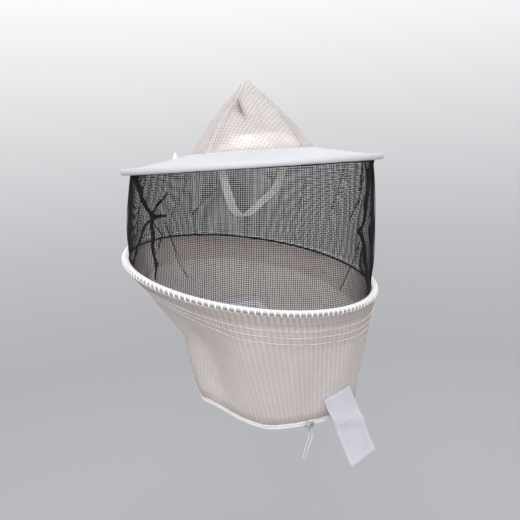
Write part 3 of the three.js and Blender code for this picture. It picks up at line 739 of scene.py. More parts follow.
def crown_at(angle, share):
    """The crown's outer face: share 0 at its peak, 1 at its foot on the brim."""
    z = (1 - share) * (CROWN_PEAK + 0.0035)
    radius = np.maximum(crown_radius(z), 0.0)
    slack = np.sin(3 * angle + 0.6) * 0.0014 + np.sin(5 * angle + share * 4) * 0.0010
    slack = slack + np.sin(9 * angle - share * 7) * 0.0008
    fade = np.clip(share * 3, 0, 1) * np.clip((1 - share) * 7, 0, 1)
    ridge = bump(turn_from(angle, math.radians(-42)), 0, 0.13) * bump(share, 0.42, 0.26)
    blunt = 0.0028 * np.clip(1 - share * 7, 0, 1) * np.clip(share * 30, 0, 1)
    radius = (radius - PINCH_DEPTH * crown_pinch(angle, share) + RIDGE_HEIGHT * ridge
              + slack * fade + blunt)
    foot = brim_top(radius) + GAP + 0.0002
    height = np.where(share > 0.999, foot, np.maximum(z, foot))
    return ring(np.maximum(radius, 0.0006), angle, height)


def waffle(cloth_map, pitch):
    """Depth of the ventilated fabric's cells, from its own map."""
    turns = math.pi * cloth_map / pitch
    return np.abs(np.sin(turns[..., 0]) * np.sin(turns[..., 1]))


def emboss(points, relief):
    """Moves a closed sheet's points along its outward direction."""
    around = np.roll(points, -1, axis=0) - np.roll(points, 1, axis=0)
    down = np.gradient(points, axis=1)
    normal = np.cross(down, around)
    normal /= np.maximum(np.linalg.norm(normal, axis=-1, keepdims=True), 1e-12)
    return points + normal * relief[..., None]


def make_crown():
    slant = math.hypot(CROWN_RADIUS, CROWN_HEIGHT)
    columns, rows = 300, 74
    across, down = grid(columns + 1, rows)
    angle = across * TAU
    # the cone laid flat, so that the fabric's grid keeps its squares
    opening = angle * CROWN_RADIUS / slant
    reach = down * slant
    half = (np.floor(across * 2 - 1e-9) * 0.5 + 0.25) * TAU * CROWN_RADIUS / slant
    cloth_map = np.stack([reach * np.sin(opening - half), reach * np.cos(opening - half)], axis=-1)
    points = crown_at(angle, down)[:-1]
    points = emboss(points, -WAFFLE_DEPTH * waffle(cloth_map[:-1], CROWN_CELL)
                    * np.clip(down[:-1] * 6, 0, 1))
    crown = cloth_mesh("crown_cloth", points, cloth_map, CROWN_CLOTH, closed=True)
    # painted shade, deepest along the middle of the pinched fold
    store_mask(crown, 0.9 * crown_pinch(angle, down)[:-1] ** 1.5)
    thicken(crown, CROWN_WALL)
    dress(crown, "hat", "ventilated_fabric", "crown_front_panel", "crown_back_panel")
    for name, seam in (("crown_left_topstitch", 0.5), ("crown_right_topstitch", 1.5)):
        share = np.linspace(0.06, 0.985, 60)
        lines = []
        for side in (-TOPSTITCH_ASIDE, TOPSTITCH_ASIDE):
            line = crown_at(np.full(60, seam * math.pi), share)
            line[:, 1] += side * np.clip(share * 4, 0.2, 1)
            line[:, 0] *= 1 + STITCH_PROUD / np.maximum(np.abs(line[:, 0]), 0.002)
            lines.append(line)
        dress(stitch_rows(name, lines, closed=False), "hat", "ventilated_fabric")
        # the tape behind the seam, on the cloth's inner face
        turn, share = grid(7, 40)
        share = 0.10 + 0.87 * share
        angle = seam * math.pi + (turn - 0.5) * SEAM_TAPE_TURN
        inner = crown_at(angle, share)
        inner -= ring(1.0, angle, -0.9) * (CROWN_WALL + 0.0004)
        tape = cloth_mesh(name + "_tape", inner, np.stack([turn * 0.014, share * 0.16], axis=-1),
                          VENTILATED)
        thicken(tape, 0.0008)
        dress(tape, "hat", "white_cotton", name.replace("topstitch", "seam_tape"))


# ------------------------------------------------------------------ brim
BRIM_EDGE = PIPE_LINE - 0.0027    # where the covers tuck into the padded edge
COVER_START = BRIM_HOLE + 0.0008
FOOT_STITCH_RADIUS = 0.1105
PIPE_TURNS = 20
OPENING_HEIGHT = 0.008
SWEATBAND_HEIGHT = 0.024
SWEATBAND_INSET = 0.0036
TAB_TIP, TAB_SPREAD = 0.0012, 0.0108   # half widths: at its tip, and what it gains by its foot
TAB_RISE = 1.3


def make_brim():
    def wobble(angle):
        return 0.0006 * np.sin(4 * angle + 1) + 0.0004 * np.sin(9 * angle)

    def top_face(angle, share):
        radius = COVER_START * (1 - share) + BRIM_EDGE * share
        soft = wobble(angle) * np.sin(math.pi * share)
        return ring(radius, angle, brim_top(radius) + soft)

    def under_face(angle, share):
        radius = BRIM_EDGE * (1 - share) + COVER_START * share
        soft = wobble(angle + 2) * np.sin(math.pi * share)
        return ring(radius, angle, brim_under(radius) + soft)

    for name, face, node in (("brim_top_cloth", top_face, "brim_top_cover"),
                             ("brim_under_cloth", under_face, "brim_under_cover")):
        cover = ring_band(name, face, BRIM_EDGE - BRIM_HOLE, WHITE_COTTON, 0.0009, rows=24)
        dress(cover, "hat", "white_cotton", node)

    # padded edge, bound over the wire
    mouth = math.radians(180) - math.atan(BRIM_SLOPE)
    centre_z = brim_top(PIPE_LINE) - BRIM_THICK / 2

    def pipe_face(angle, share):
        turn = mouth - math.radians(34) - share * math.radians(292)
        soft = 1 + 0.02 * np.sin(23 * angle + 2 * turn) + 0.02 * np.sin(61 * angle)
        across = PIPE_RADIUS * soft * np.cos(turn)
        up = PIPE_RADIUS * soft * np.sin(turn)
        return ring(PIPE_LINE + across, angle, centre_z + up)

    pipe = ring_band("brim_edge_binding", pipe_face, TAU * PIPE_RADIUS, WHITE_COTTON, 0.001,
                     columns=360, rows=PIPE_TURNS)
    dress(pipe, "hat", "white_cotton", "brim_binding")
    around = np.linspace(0, TAU, 361)[:-1]
    line_radius = PIPE_LINE - PIPE_RADIUS - 0.0012
    lines = [ring(radius, around, brim_top(radius) + 0.0003)
             for radius in (line_radius, FOOT_STITCH_RADIUS)]
    dress(stitch_rows("brim_topstitch", lines), "hat", "white_cotton")

    inside = BRIM_HOLE - GAP
    top = brim_top(BRIM_HOLE) + 0.0004

    def opening_face(angle, share):
        return ring(inside, angle, top - share * OPENING_HEIGHT)

    binding = ring_band("head_opening_tape", opening_face, OPENING_HEIGHT, WHITE_COTTON, 0.0016)
    dress(binding, "hat", "white_cotton", "head_opening_binding")

    foot = brim_top(BRIM_HOLE) + 0.0008

    def band_face(angle, share):
        z = foot + (1 - share) * SWEATBAND_HEIGHT
        radius = np.minimum(crown_radius(z) - SWEATBAND_INSET, inside)
        return ring(radius + 0.0002 * np.sin(90 * angle), angle, z)

    band = ring_band("sweatband_knit", band_face, SWEATBAND_HEIGHT, ELASTIC, 0.0014, columns=540)
    dress(band, "hat", "elastic", "sweatband")


def make_hanging_tab():
    """A folded triangle of tape standing on the rear of the brim."""
    across, down = grid(9, 9)
    low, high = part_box("hanging_tab")
    centre = (Vector(low) + Vector(high)) / 2
    side_to_side = across * 2 - 1
    width = (TAB_TIP + TAB_SPREAD * down) * side_to_side
    height = (high[2] - low[2]) * TAB_RISE
    puff = 0.0016 * (1 - side_to_side ** 2) * (1 - down * 0.6)
    sides = []
    for side in (1, -1):
        points = np.stack([centre.x + side * width, centre.y + side * (0.0004 + puff * 0.8),
                           low[2] + (1 - down) * height], axis=-1)
        cloth_map = np.stack([width, down * height], axis=-1)
        leaf = cloth_mesh("tab_side", points[::-1], cloth_map[::-1], TAB_COTTON)
        sides.append(thicken(leaf, 0.0006))
    dress(joined("hanging_tab_cloth", sides), "hat", "white_cotton", "hanging_tab")


# ------------------------------------------------------------------ chin strap
STRAP_SPAN = float(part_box("chin_strap")[1][0]) - 0.0008
STRAP_BACK, STRAP_FORWARD, STRAP_DROP = -0.006, 0.034, 0.108
STRAP_HALF_WIDTH = 0.0075
# shares of the span, of the way forward and of the drop
STRAP_ROUTE = [
    (1, 0, -0.045), (0.93, 0.02, -0.12), (0.86, 0.05, -0.22), (0.74, 0.16, -0.47),
    (0.61, 0.34, -0.65), (0.36, 0.75, -0.84), (0.16, 0.93, -0.96), (0, 1, -1),
]


def make_chin_strap():
    half = [np.array([x * STRAP_SPAN, STRAP_BACK + y * STRAP_FORWARD, z * STRAP_DROP])
            for x, y, z in STRAP_ROUTE]
    other = [p * np.array([-1, 1, 1]) for p in half[:-1]][::-1]
    path = smooth_path(half + other, 8)
    along = np.gradient(path, axis=0)
    along /= np.linalg.norm(along, axis=1, keepdims=True)
    # the band turns a little towards its cup
    level = np.stack([-0.5 * np.sin(np.linspace(0, math.pi, len(path))), np.ones(len(path)),
                      np.zeros(len(path))], axis=-1)
    across = level - along * np.sum(level * along, axis=1, keepdims=True)
    across /= np.linalg.norm(across, axis=1, keepdims=True)
    face = np.cross(along, across)
    reach = np.concatenate([[0], np.cumsum(np.linalg.norm(np.diff(path, axis=0), axis=1))])
    side = np.linspace(-1, 1, 7)
    cup = 0.0005 * (1 - side ** 2)
    points = (path[:, None] + across[:, None] * side[None, :, None] * STRAP_HALF_WIDTH
              + face[:, None] * (0.0006 + cup)[None, :, None])
    cloth_map = np.stack(np.broadcast_arrays(reach[:, None], side[None, :] * STRAP_HALF_WIDTH),
                         axis=-1)
    strap = cloth_mesh("chin_strap_elastic", points, cloth_map, ELASTIC)
    strap.data.flip_normals()
    thicken(strap, 0.0013)
    dress(strap, "strap", "elastic", "chin_strap")


# ------------------------------------------------------------------ net veil
# Creases in the net: start and end as (degrees from front, share of the way down), depth inwards
# and half-width in metres. A negative depth stands out.
CREASES = [
    ((-124, 0.0), (-102, 0.42), 0.011, 0.004),
    ((-102, 0.42), (-97, 0.97), 0.011, 0.004),
    ((-90, 0.20), (-102, 0.42), 0.006, 0.003),
    ((-102, 0.42), (-120, 0.90), 0.008, 0.004),
    ((-102, 0.42), (-93, 0.55), 0.007, 0.003),
    ((-93, 0.55), (-94, 0.66), 0.006, 0.003),
    ((-90, 0.43), (-78, 0.86), 0.0035, 0.0025),
    ((-76, 0.35), (-66, 0.16), 0.003, 0.003),
    ((26, 0.0), (9, 0.50), 0.009, 0.004),
    ((9, 0.50), (26, 0.97), 0.009, 0.004),
    ((7, 0.0), (7, 0.22), 0.005, 0.003),
    ((7, 0.22), (-3, 0.40), 0.005, 0.003),
    ((5, 0.57), (-9, 0.88), 0.003, 0.0025),
    ((-28, 0.12), (-31, 0.30), 0.003, 0.003),
    ((70, 0.05), (84, 0.60), 0.005, 0.005),
    ((118, 0.2), (104, 0.9), 0.004, 0.005),
    ((165, 0.1), (178, 0.7), 0.004, 0.005),
    ((-160, 0.1), (-150, 0.8), 0.005, 0.005),
]
# The deepest of them, where the net lies in a bundle: the crease's number, the bundle's radius and
# taper, and how far it lies beside the crease.
BUNDLES = (
    (0, 0.0052, 0.45, 0.0), (0, 0.0018, 0.8, 0.007), (1, 0.0032, 0.35, 0.0), (2, 0.0013, 1.2, 0.0),
    (2, 0.0006, 1.0, 0.004), (3, 0.0016, 0.9, 0.0), (4, 0.0010, 0.8, 0.0), (5, 0.0009, 0.6, 0.0),
    (6, 0.0006, 0.6, 0.0), (7, 0.0005, 0.6, 0.0), (8, 0.0032, 0.8, 0.0), (8, 0.0012, 0.8, 0.007),
    (9, 0.0030, 1.1, 0.0), (10, 0.0010, 0.7, 0.0), (11, 0.0008, 0.6, 0.0), (12, 0.0005, 0.6, 0.0),
    (13, 0.0004, 0.6, 0.0),
)
VEIL_OUT = VEIL_RADIUS - GAP - TAPE_WALL
VEIL_BOTTOM = HOOP_RADIUS - CASING_RADIUS - 2 * GAP - TAPE_WALL


def taut_veil(angle, share):
    """The net stretched straight from under the brim, share 0, to the hoop, share 1."""
    top = ring(VEIL_OUT, angle, brim_under(VEIL_OUT) - GAP)
    low = hoop_at(VEIL_BOTTOM, angle, 0.0)
    return mix(top, low, share)


def veil_at(angle, share, out=0.0):
    """The net's outer face with its slack: gathered towards each crease, which is drawn in."""
    angle, share = np.broadcast_arrays(np.asarray(angle, float), np.asarray(share, float))
    free = np.clip(share * 8, 0, 1) * np.clip((1 - share) * 8, 0, 1)
    drop = np.linalg.norm(taut_veil(angle, 1.0) - taut_veil(angle, 0.0), axis=-1)
    push = 0.0035 * np.sin(math.pi * share) + 0.0008 * np.sin(9 * angle + 3 * share)
    shift_u, shift_v = 0.0, 0.0
    for (a0, s0), (a1, s1), depth, width in CREASES:
        u = turn_from(angle, math.radians(a0)) * VEIL_RADIUS
        v = (share - s0) * drop
        du = math.radians(a1 - a0) * VEIL_RADIUS
        dv = (s1 - s0) * drop
        along = np.clip((u * du + v * dv) / (du * du + dv * dv), 0, 1)
        off_u, off_v = u - along * du, v - along * dv
        away = np.hypot(off_u, off_v)
        gather = np.minimum(depth / 0.02, 0.5) * np.exp(-(away / (2.2 * width)) ** 2)
        shift_u = shift_u - off_u * gather
        shift_v = shift_v - off_v * gather
        push = push - depth * np.exp(-away / width)
    point = taut_veil(angle + np.clip(shift_u, -0.012, 0.012) * free / VEIL_RADIUS,
                      share + np.clip(shift_v, -0.012, 0.012) * free / drop)
    radius = np.linalg.norm(point[..., :2], axis=-1, keepdims=True)
    outward = point[..., :2] / radius
    point[..., :2] += outward * (push * free + out)[..., None]
    return point


NET_SEAM = math.radians(40)
NET_COLUMNS, NET_ROWS = 186, 70


def make_net():
    for name, start, node in (("net_left", NET_SEAM, "veil_left_panel"),
                              ("net_right", NET_SEAM - math.pi, "veil_right_panel")):
        across, down = grid(NET_COLUMNS, NET_ROWS)
        angle = start + 0.001 + across * (math.pi - 0.002)
        points = veil_at(angle, down)
        cloth_map = np.stack([across * math.pi * VEIL_RADIUS, down * 0.18], axis=-1)
        net = cloth_mesh(name, points, cloth_map, NET_YARN)
        mesh = net.data
        ends = np.empty(len(mesh.edges) * 2, dtype=np.int64)
        mesh.edges.foreach_get("vertices", ends)
        ends = ends.reshape(-1, 2)
        same_column = ends[:, 0] // NET_ROWS == ends[:, 1] // NET_ROWS
        runs_down = mesh.attributes.new("runs_down", "BOOLEAN", "EDGE")
        runs_down.data.foreach_set("value", same_column.tolist())
        grown(net, NET_THREADS, {"Thread Radius": NET_THREAD, "Yarn": NET_YARN}, NET_YARN)
        # so fine a net throws no shade worth seeing
        net.visible_shadow = False
        net.visible_diffuse = False
        dress(net, "hat", "net", node)
        fold_with_veil(net)


def make_net_bundles():
    bars = []
    for number, radius, taper, beside in BUNDLES:
        (a0, s0), (a1, s1) = CREASES[number][:2]
        along = np.linspace(0.01, 0.99, 22)
        wave = 0.6 * np.sin(7 * along + number) + math.degrees(beside / VEIL_RADIUS) * (1 - along)
        line = veil_at(np.radians(a0 + (a1 - a0) * along + wave),
                       np.clip(s0 + (s1 - s0) * along, 0.015, 0.985), 0.0008)
        bars.append(round_bar("net_bundles", line, radius, NET_YARN, taper=taper))
    bundles = joined("net_bundles", bars)
    dress(bundles, "hat", "net")
    fold_with_veil(bundles)


def fold_with_veil(piece):
    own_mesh(piece)


def make_net_tapes():
    def top_face(angle, share):
        return ring(VEIL_RADIUS, angle, brim_under(VEIL_RADIUS) - GAP - share * TAPE_HEIGHT)

    top = ring_band("net_top_tape", top_face, TAPE_HEIGHT, BLACK_TAPE, TAPE_WALL)
    dress(top, "hat", "black_tape", "veil_top_tape")
    out = HOOP_RADIUS - CASING_RADIUS - GAP
    low_height = 0.55 * TAPE_HEIGHT

    def low_face(angle, share):
        return hoop_at(out, angle, (0.45 - share) * low_height)

    low = ring_band("net_hoop_tape", low_face, low_height, BLACK_TAPE, TAPE_WALL)
    dress(low, "hoop", "black_tape", "veil_bottom_tape")

    # seam tapes follow the gathered folds of the net's two seams
    seams = (("net_left_seam", "veil_left_seam_tape",
              ((40, 0.0), (34, 0.3), (28, 0.5), (33, 0.75), (40, 1.0))),
             ("net_right_seam", "veil_right_seam_tape",
              ((-140, 0.0), (-136, 0.3), (-130, 0.5), (-134, 0.75), (-140, 1.0))))
    for name, node, route in seams:
        share = np.linspace(0.02, 0.97, 50)
        angle = np.radians(np.interp(share, [s for _, s in route], [a for a, _ in route]))
        side = np.linspace(-1, 1, 5)
        turn = angle[:, None] + side[None, :] * 0.0035 / VEIL_RADIUS
        points = veil_at(turn, np.broadcast_to(share[:, None], turn.shape), 0.0009)
        cloth_map = np.stack(np.broadcast_arrays(share[:, None] * 0.17, side[None, :] * 0.005),
                             axis=-1)
        seam = cloth_mesh(name, points, cloth_map, BLACK_TAPE)
        thicken(seam, TAPE_WALL)
        dress(seam, "hat", "black_tape", node)
        fold_with_veil(seam)


# ------------------------------------------------------------------ hoop and its casing
RIM_BUMPS = 140
RIM_SHADED_DENT_SIDE = math.radians(-22)     # the middle of the dents with painted shade, round the casing
RIM_THREAD, RIM_LEAN = 0.0009, 0.35


def make_hoop():
    columns, turns = RIM_BUMPS * 6, 14
    across, around = grid(columns + 1, turns + 1)
    angle = across * TAU
    turn = around * TAU
    swell = np.abs(np.sin(angle * RIM_BUMPS / 2))
    # between the stitches the casing dips on its lower outer side, and there painted shade darkens
    # it
    block = np.clip((swell - 0.22) / 0.22, 0, 1) * bump(turn_from(turn, RIM_SHADED_DENT_SIDE), 0, 0.95)
    upper = 0.5 + 0.5 * np.cos(turn - math.radians(60))
    radius = CASING_RADIUS * (0.88 + 0.10 * swell ** 0.6 * upper - 0.10 * block
                              + 0.02 * np.sin(11 * angle))
    points = hoop_at(HOOP_RADIUS + radius * np.cos(turn), angle, radius * np.sin(turn))[:-1, :-1]
    cloth_map = np.stack([across * TAU * HOOP_RADIUS, around * TAU * CASING_RADIUS], axis=-1)
    casing = tube_mesh("hoop_casing_cloth", points, cloth_map, RIM_CLOTH)
    store_mask(casing, block[:-1, :-1])
    dress(casing, "hoop", "ventilated_fabric", "hoop_casing")

    tilt = Matrix.Translation(Vector(HOOP_CENTRE)) @ Matrix.Rotation(HOOP_TILT, 4, "X")
    stitches = grown(edge_path("rim_whip_stitches", [(0, 0, 0), (0, 0, 0.01)]), WHIP_STITCHES, {
        "Ring Radius": HOOP_RADIUS, "Count": RIM_BUMPS, "Wrap Radius": CASING_RADIUS * 0.93,
        "Thread Radius": RIM_THREAD, "Lean": RIM_LEAN, "Thread": SEAM_THREAD}, SEAM_THREAD)
    stitches.data.transform(tilt)
    dress(stitches, "hoop", "ventilated_fabric")


# ------------------------------------------------------------------ skirt
SKIRT_OUT = 0.0006 + GAP + 0.003
SKIRT_TOP_Z = -(CASING_RADIUS + GAP)
SKIRT_EDGE = 0.006                # height of the skirt's edge over the zip's line
COLLAR_TOP = -0.291               # behind, the cloth falls in to a collar below this level
COLLAR_OUT = 0.004
COLLAR_FROM, COLLAR_FULL = 52, 100     # degrees from front over which the collar forms
KNEE_SOFTNESS = 0.26
FACING_INSET = 0.0036
TOPSTITCH_DEPTHS = (0.022, 0.033, 0.044)   # below the hoop, along the cloth


def skirt_at(angle, share, inset=0.0, relief=True):
    """The skirt's outer face from the hoop, share 0, to its lower edge, share 1."""
    angle, share = np.broadcast_arrays(angle, share)
    top = hoop_at(SKIRT_TOP_RADIUS - inset, angle, SKIRT_TOP_Z)
    low = neck_at(angle, SKIRT_OUT - inset, SKIRT_EDGE)
    corner = neck_at(angle, SKIRT_OUT + COLLAR_OUT - inset, SKIRT_EDGE)
    corner[..., 2] = np.maximum(COLLAR_TOP, low[..., 2] + 0.01)
    upper = np.linalg.norm(corner - top, axis=-1)
    knee = upper / (upper + np.linalg.norm(low - corner, axis=-1))
    bent = 0
    for shift in (-1, -0.5, 0, 0.5, 1):
        place = share + shift * KNEE_SOFTNESS * share * (1 - share)
        bent = bent + (top + (corner - top) * np.clip(place / knee, 0, 1)[..., None]
                       + (low - corner) * np.clip((place - knee) / (1 - knee), 0, 1)[..., None]) / 5
    turn = np.degrees(np.abs(turn_from(angle, 0)))
    behind = np.clip((turn - COLLAR_FROM) / (COLLAR_FULL - COLLAR_FROM), 0, 1)
    point = mix(mix(top, low, share), bent, behind * behind * (3 - 2 * behind))
    if not relief:
        return point
    free = np.clip(share * 5, 0, 1) * np.clip((1 - share) * 7, 0, 1)
    hollow = bump(turn_from(angle, math.radians(-92)), 0, 0.20) * bump(share, 0.72, 0.24)
    swell = bump(turn_from(angle, math.radians(-112)), 0, 0.20) * bump(share, 0.62, 0.28)
    belly = bump(turn_from(angle, math.radians(-45)), 0, 0.55) * bump(share, 0.45, 0.35)
    waves = 0.0016 * np.sin(7 * angle + 2.2 * share) + 0.0010 * np.sin(13 * angle + 4 * share + 1)
    push = -0.010 * hollow + 0.004 * swell + 0.0035 * belly + waves
    outward = ring(1.0, angle, 0.0)
    return point + outward * (push * free)[..., None]


def dress_between(piece, slot, *nodes):
    """Bakes a finished piece's place into its mesh, in place of its CAD nodes, for a piece between
    hoop and neck; its slot is not used.
    """
    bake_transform(piece)
    if nodes:
        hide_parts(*nodes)


def make_skirt():
    columns, rows = 630, 76
    across, down = grid(columns + 1, rows)
    angle = -math.pi + across * TAU
    points = skirt_at(angle, down)
    lengths = np.linalg.norm(np.diff(points, axis=1), axis=-1).sum(axis=1)
    girth = TAU * 0.5 * (SKIRT_TOP_RADIUS + NECK_RADIUS)
    cloth_map = np.stack([across * girth * CELL_HEIGHT / CELL_WIDTH,
                          down * lengths[:, None]], axis=-1)
    relief = -0.0009 * waffle(cloth_map, CELL_HEIGHT)
    points = emboss(points[:-1], relief[:-1])
    skirt = cloth_mesh("skirt_cloth", points, cloth_map, VENTILATED, closed=True)
    # painted shade in streaks under the hoop and along the tuck below them, and dark lines along
    # the two seams over the zip
    depth = cloth_map[..., 1]
    painted_streak = np.abs(np.cos(angle * RIM_BUMPS / 2)) ** 2 * np.clip((0.014 - depth) / 0.008, 0, 1)
    over_edge = lengths[:, None] - depth
    seams = bump(over_edge, 0.0045, 0.0016) + 0.7 * bump(over_edge, 0.0105, 0.0016)
    shade = 0.55 * painted_streak + 0.40 * bump(depth, 0.0135, 0.0018) + 0.55 * seams
    store_mask(skirt, np.clip(shade, 0, 1)[:-1])
    thicken(skirt, SKIRT_WALL)
    dress_between(skirt, "ventilated_fabric", "skirt_panel")

    # rows of topstitching below the hoop, down to where the facing band ends
    around = np.linspace(-math.pi, math.pi, 721)[:-1]
    mean = np.interp(around, angle[:, 0], lengths)
    outwards = ring(1.0, around, 0.0) * 0.0005
    lines = [skirt_at(around, depth / mean) + outwards for depth in TOPSTITCH_DEPTHS]
    stitches = stitch_rows("skirt_topstitch", lines, pitch=0.0047, length=0.0030, thread=0.0006)
    dress_between(stitches, "ventilated_fabric")

    def facing_face(angle, share):
        length = np.interp(turn_from(angle, 0), around, mean)
        return skirt_at(angle, 0.002 / length + share * FACING_HEIGHT / length,
                        inset=FACING_INSET, relief=False)

    facing = ring_band("facing_band_cloth", facing_face, FACING_HEIGHT, VENTILATED, 0.0014,
                       columns=400, rows=14)
    dress(facing, "hoop", "ventilated_fabric", "hoop_facing_band")

    turn, down = grid(9, 16)
    angle = math.pi + (turn - 0.5) * 0.084
    points = skirt_at(angle, 0.52 + 0.33 * down, inset=FACING_INSET)
    seam = cloth_mesh("skirt_back_seam", points,
                      np.stack([turn * 0.014, down * 0.05], axis=-1), WHITE_COTTON)
    thicken(seam, 0.001)
    dress_between(seam, "white_cotton", "skirt_seam_tape")


# ------------------------------------------------------------------ neck zip
ZIP_END = math.radians(1)
ZIP_TAPE_FOOT = 0.0016
HEM_HEIGHT = 0.009
COIL_TURNS = {"Pitch": 0.0020, "Turn Radius": 0.0012, "Wire Radius": 0.00042}
PLATE = 0.0012                    # the slider's metal


def open_band(name, start, end, place, width, material, wall, columns, rows):
    across, down = grid(columns, rows)
    angle = start + (end - start) * across
    cloth_map = np.stack([across * (end - start) * NECK_RADIUS, down * width], axis=-1)
    return thicken(cloth_mesh(name, place(angle, down), cloth_map, material), wall)


def make_zip():
    height = ZIP_TAPE_TOP - ZIP_TAPE_FOOT

    def tape_face(angle, share):
        return neck_at(angle, 0.0006, ZIP_TAPE_FOOT + (1 - share) * height)

    tape = open_band("zip_tape_cloth", ZIP_END, TAU - ZIP_END, tape_face, height,
                     ZIP_CLOTH, 0.0011, 540, 8)
    dress(tape, "neck", "zip_tape", "zip_tape")

    def hem_face(angle, share):
        return neck_at(angle, -0.0009, ZIP_TAPE_TOP - share * HEM_HEIGHT)

    hem = ring_band("hem_tape_cloth", hem_face, HEM_HEIGHT, WHITE_COTTON, 0.0011, columns=360)
    dress(hem, "neck", "white_cotton", "hem_tape")

    around = np.linspace(ZIP_END, TAU - ZIP_END, 720)
    zip_line = neck_at(around, 0.0, 0.0)
    coil = grown(edge_path("zip_coil_turns", zip_line), ZIP_COIL_TURNS,
                 {**COIL_TURNS, "Wire": NYLON}, NYLON)
    core = round_bar("zip_coil_cord", zip_line, 0.00085, SEAM_THREAD)
    dress(coil, "neck", "white_plastic", "zip_coil")
    dress(core, "neck", "white_plastic")

    # a rolled seam where the skirt's edge is sewn to the tape, and stitches beside the coil
    rolled = round_bar("neck_seam_roll", neck_at(np.linspace(0, TAU, 541)[:-1], 0.0030, SKIRT_EDGE),
                       0.0009, RIM_CLOTH, closed=True)
    dress(rolled, "neck", "ventilated_fabric")
    dress(stitch_row("zip_tape_stitches", neck_at(around, 0.0008, 0.0030), pitch=0.0036,
                     length=0.0028, thread=0.00035, closed=False), "neck", "zip_tape")


def slider_block(name, size, centre, bevel=0.0005):
    """A small steel block with rounded edges, turned as the slider is."""
    mesh = bpy.data.meshes.new(name)
    corners = [(x, y, z) for x in (-0.5, 0.5) for y in (-0.5, 0.5) for z in (-0.5, 0.5)]
    faces = [(0, 1, 3, 2), (4, 6, 7, 5), (0, 4, 5, 1), (2, 3, 7, 6), (0, 2, 6, 4), (1, 5, 7, 3)]
    mesh.from_pydata([(x * size[0], y * size[1], z * size[2]) for x, y, z in corners], [], faces)
    made = link_object(name, mesh, STEEL)
    edge = made.modifiers.new("edge", "BEVEL")
    edge.width = bevel
    edge.segments = 3
    settle(made)
    made.data.transform(Matrix.Translation(centre) @ Matrix.Rotation(SLIDER_ANGLE, 4, "Z"))
    return made


def make_slider():
    """Two rounded plates over the coil, a post below it and a bail for the pull."""
    blocks = [slider_block("slider_plate", (SLIDER_LENGTH, PLATE, 0.0072),
                           slider_place(0, out, 0.0001))
              for out in (-SLIDER_OUT + PLATE / 2, SLIDER_OUT - PLATE / 2)]
    blocks.append(slider_block("slider_floor", (SLIDER_LENGTH, 2 * SLIDER_OUT - 0.0004, PLATE),
                               slider_place(0, 0, -0.0030)))
    bail = [slider_place(x, SLIDER_OUT + out, 0.0020) for x, out in
            ((-0.005, -0.0004), (-0.0045, 0.0004), (-0.0030, 0.0006), (0.0030, 0.0006),
             (0.0045, 0.0004), (0.005, -0.0004))]
    blocks.append(round_bar("slider_bail", smooth_path(bail, 4), 0.0005, STEEL))
    dress(joined("slider_body", blocks), "slider", "steel", "zip_slider")
    tab = [slider_place(x, CORD_OUT, up) for x, up in
           ((0, 0.002), (0.0032, 0.001), (0.0035, -0.004), (0.0030, -0.0085), (0, -0.0098),
            (-0.0030, -0.0085), (-0.0035, -0.004), (-0.0032, 0.001), (0, 0.002))]
    loop = round_bar("pull_tab_loop", smooth_path(tab, 6)[:-1], 0.0006, STEEL, closed=True)
    bar = slider_block("pull_tab_plate", (0.0050, 0.0008, 0.0052),
                       slider_place(0, CORD_OUT, -0.0035), bevel=0.0003)
    dress(joined("pull_tab_metal", [loop, bar]), "pull", "steel", "zip_pull_tab")


# ------------------------------------------------------------------ cover flap
FLAP_WIDTH, FLAP_LENGTH = 0.060, 0.113
FLAP_TOP = np.array([-0.022, -0.1640, -0.388])
PATCH_WIDTH, PATCH_LENGTH = 0.049, 0.066
PATCH_HALF = 0.84                 # its stitches: share of the flap's half width
PATCH_SEWN_TOP, PATCH_SEWN_FOOT, PATCH_SEWN = 0.385, 0.95, 0.565   # shares of its length
FLAP_YAW, FLAP_ROLL, FLAP_PITCH = (math.radians(d) for d in (-18, -11, 16))
FLAP_FACE = np.array([math.sin(FLAP_YAW), -math.cos(FLAP_YAW), 0])
FLAP_LEVEL = np.array([math.cos(FLAP_YAW), math.sin(FLAP_YAW), 0])
FLAP_FALL = np.array([0, 0, -math.cos(FLAP_PITCH)]) + FLAP_FACE * math.sin(FLAP_PITCH)
FLAP_SIDE = FLAP_LEVEL * math.cos(FLAP_ROLL) + FLAP_FALL * math.sin(FLAP_ROLL)
FLAP_DOWN = FLAP_FALL * math.cos(FLAP_ROLL) - FLAP_LEVEL * math.sin(FLAP_ROLL)


def flap_at(side, share, proud):
    """Side -1 to 1 across, share 0 at the sewn edge to 1 at the free end, proud of its face."""
    side, share = np.broadcast_arrays(np.asarray(side, float), np.asarray(share, float))
    fold = 0.0045 * bump(share - 0.10 * side, 0.42, 0.10) - 0.0035 * np.sin(math.pi * share)
    curl = -0.0045 * np.maximum(side, 0) ** 2 * (1 - share) ** 2 - 0.003 * side * share ** 2
    out = fold + curl + 0.0006 * np.sin(9 * share + 3 * side) + proud
    x = side * (FLAP_WIDTH / 2) * (1 - 0.02 * np.sin(math.pi * share))
    down = share * FLAP_LENGTH
    return (FLAP_TOP + FLAP_SIDE * x[..., None] + FLAP_DOWN * down[..., None]
            + FLAP_FACE * out[..., None])


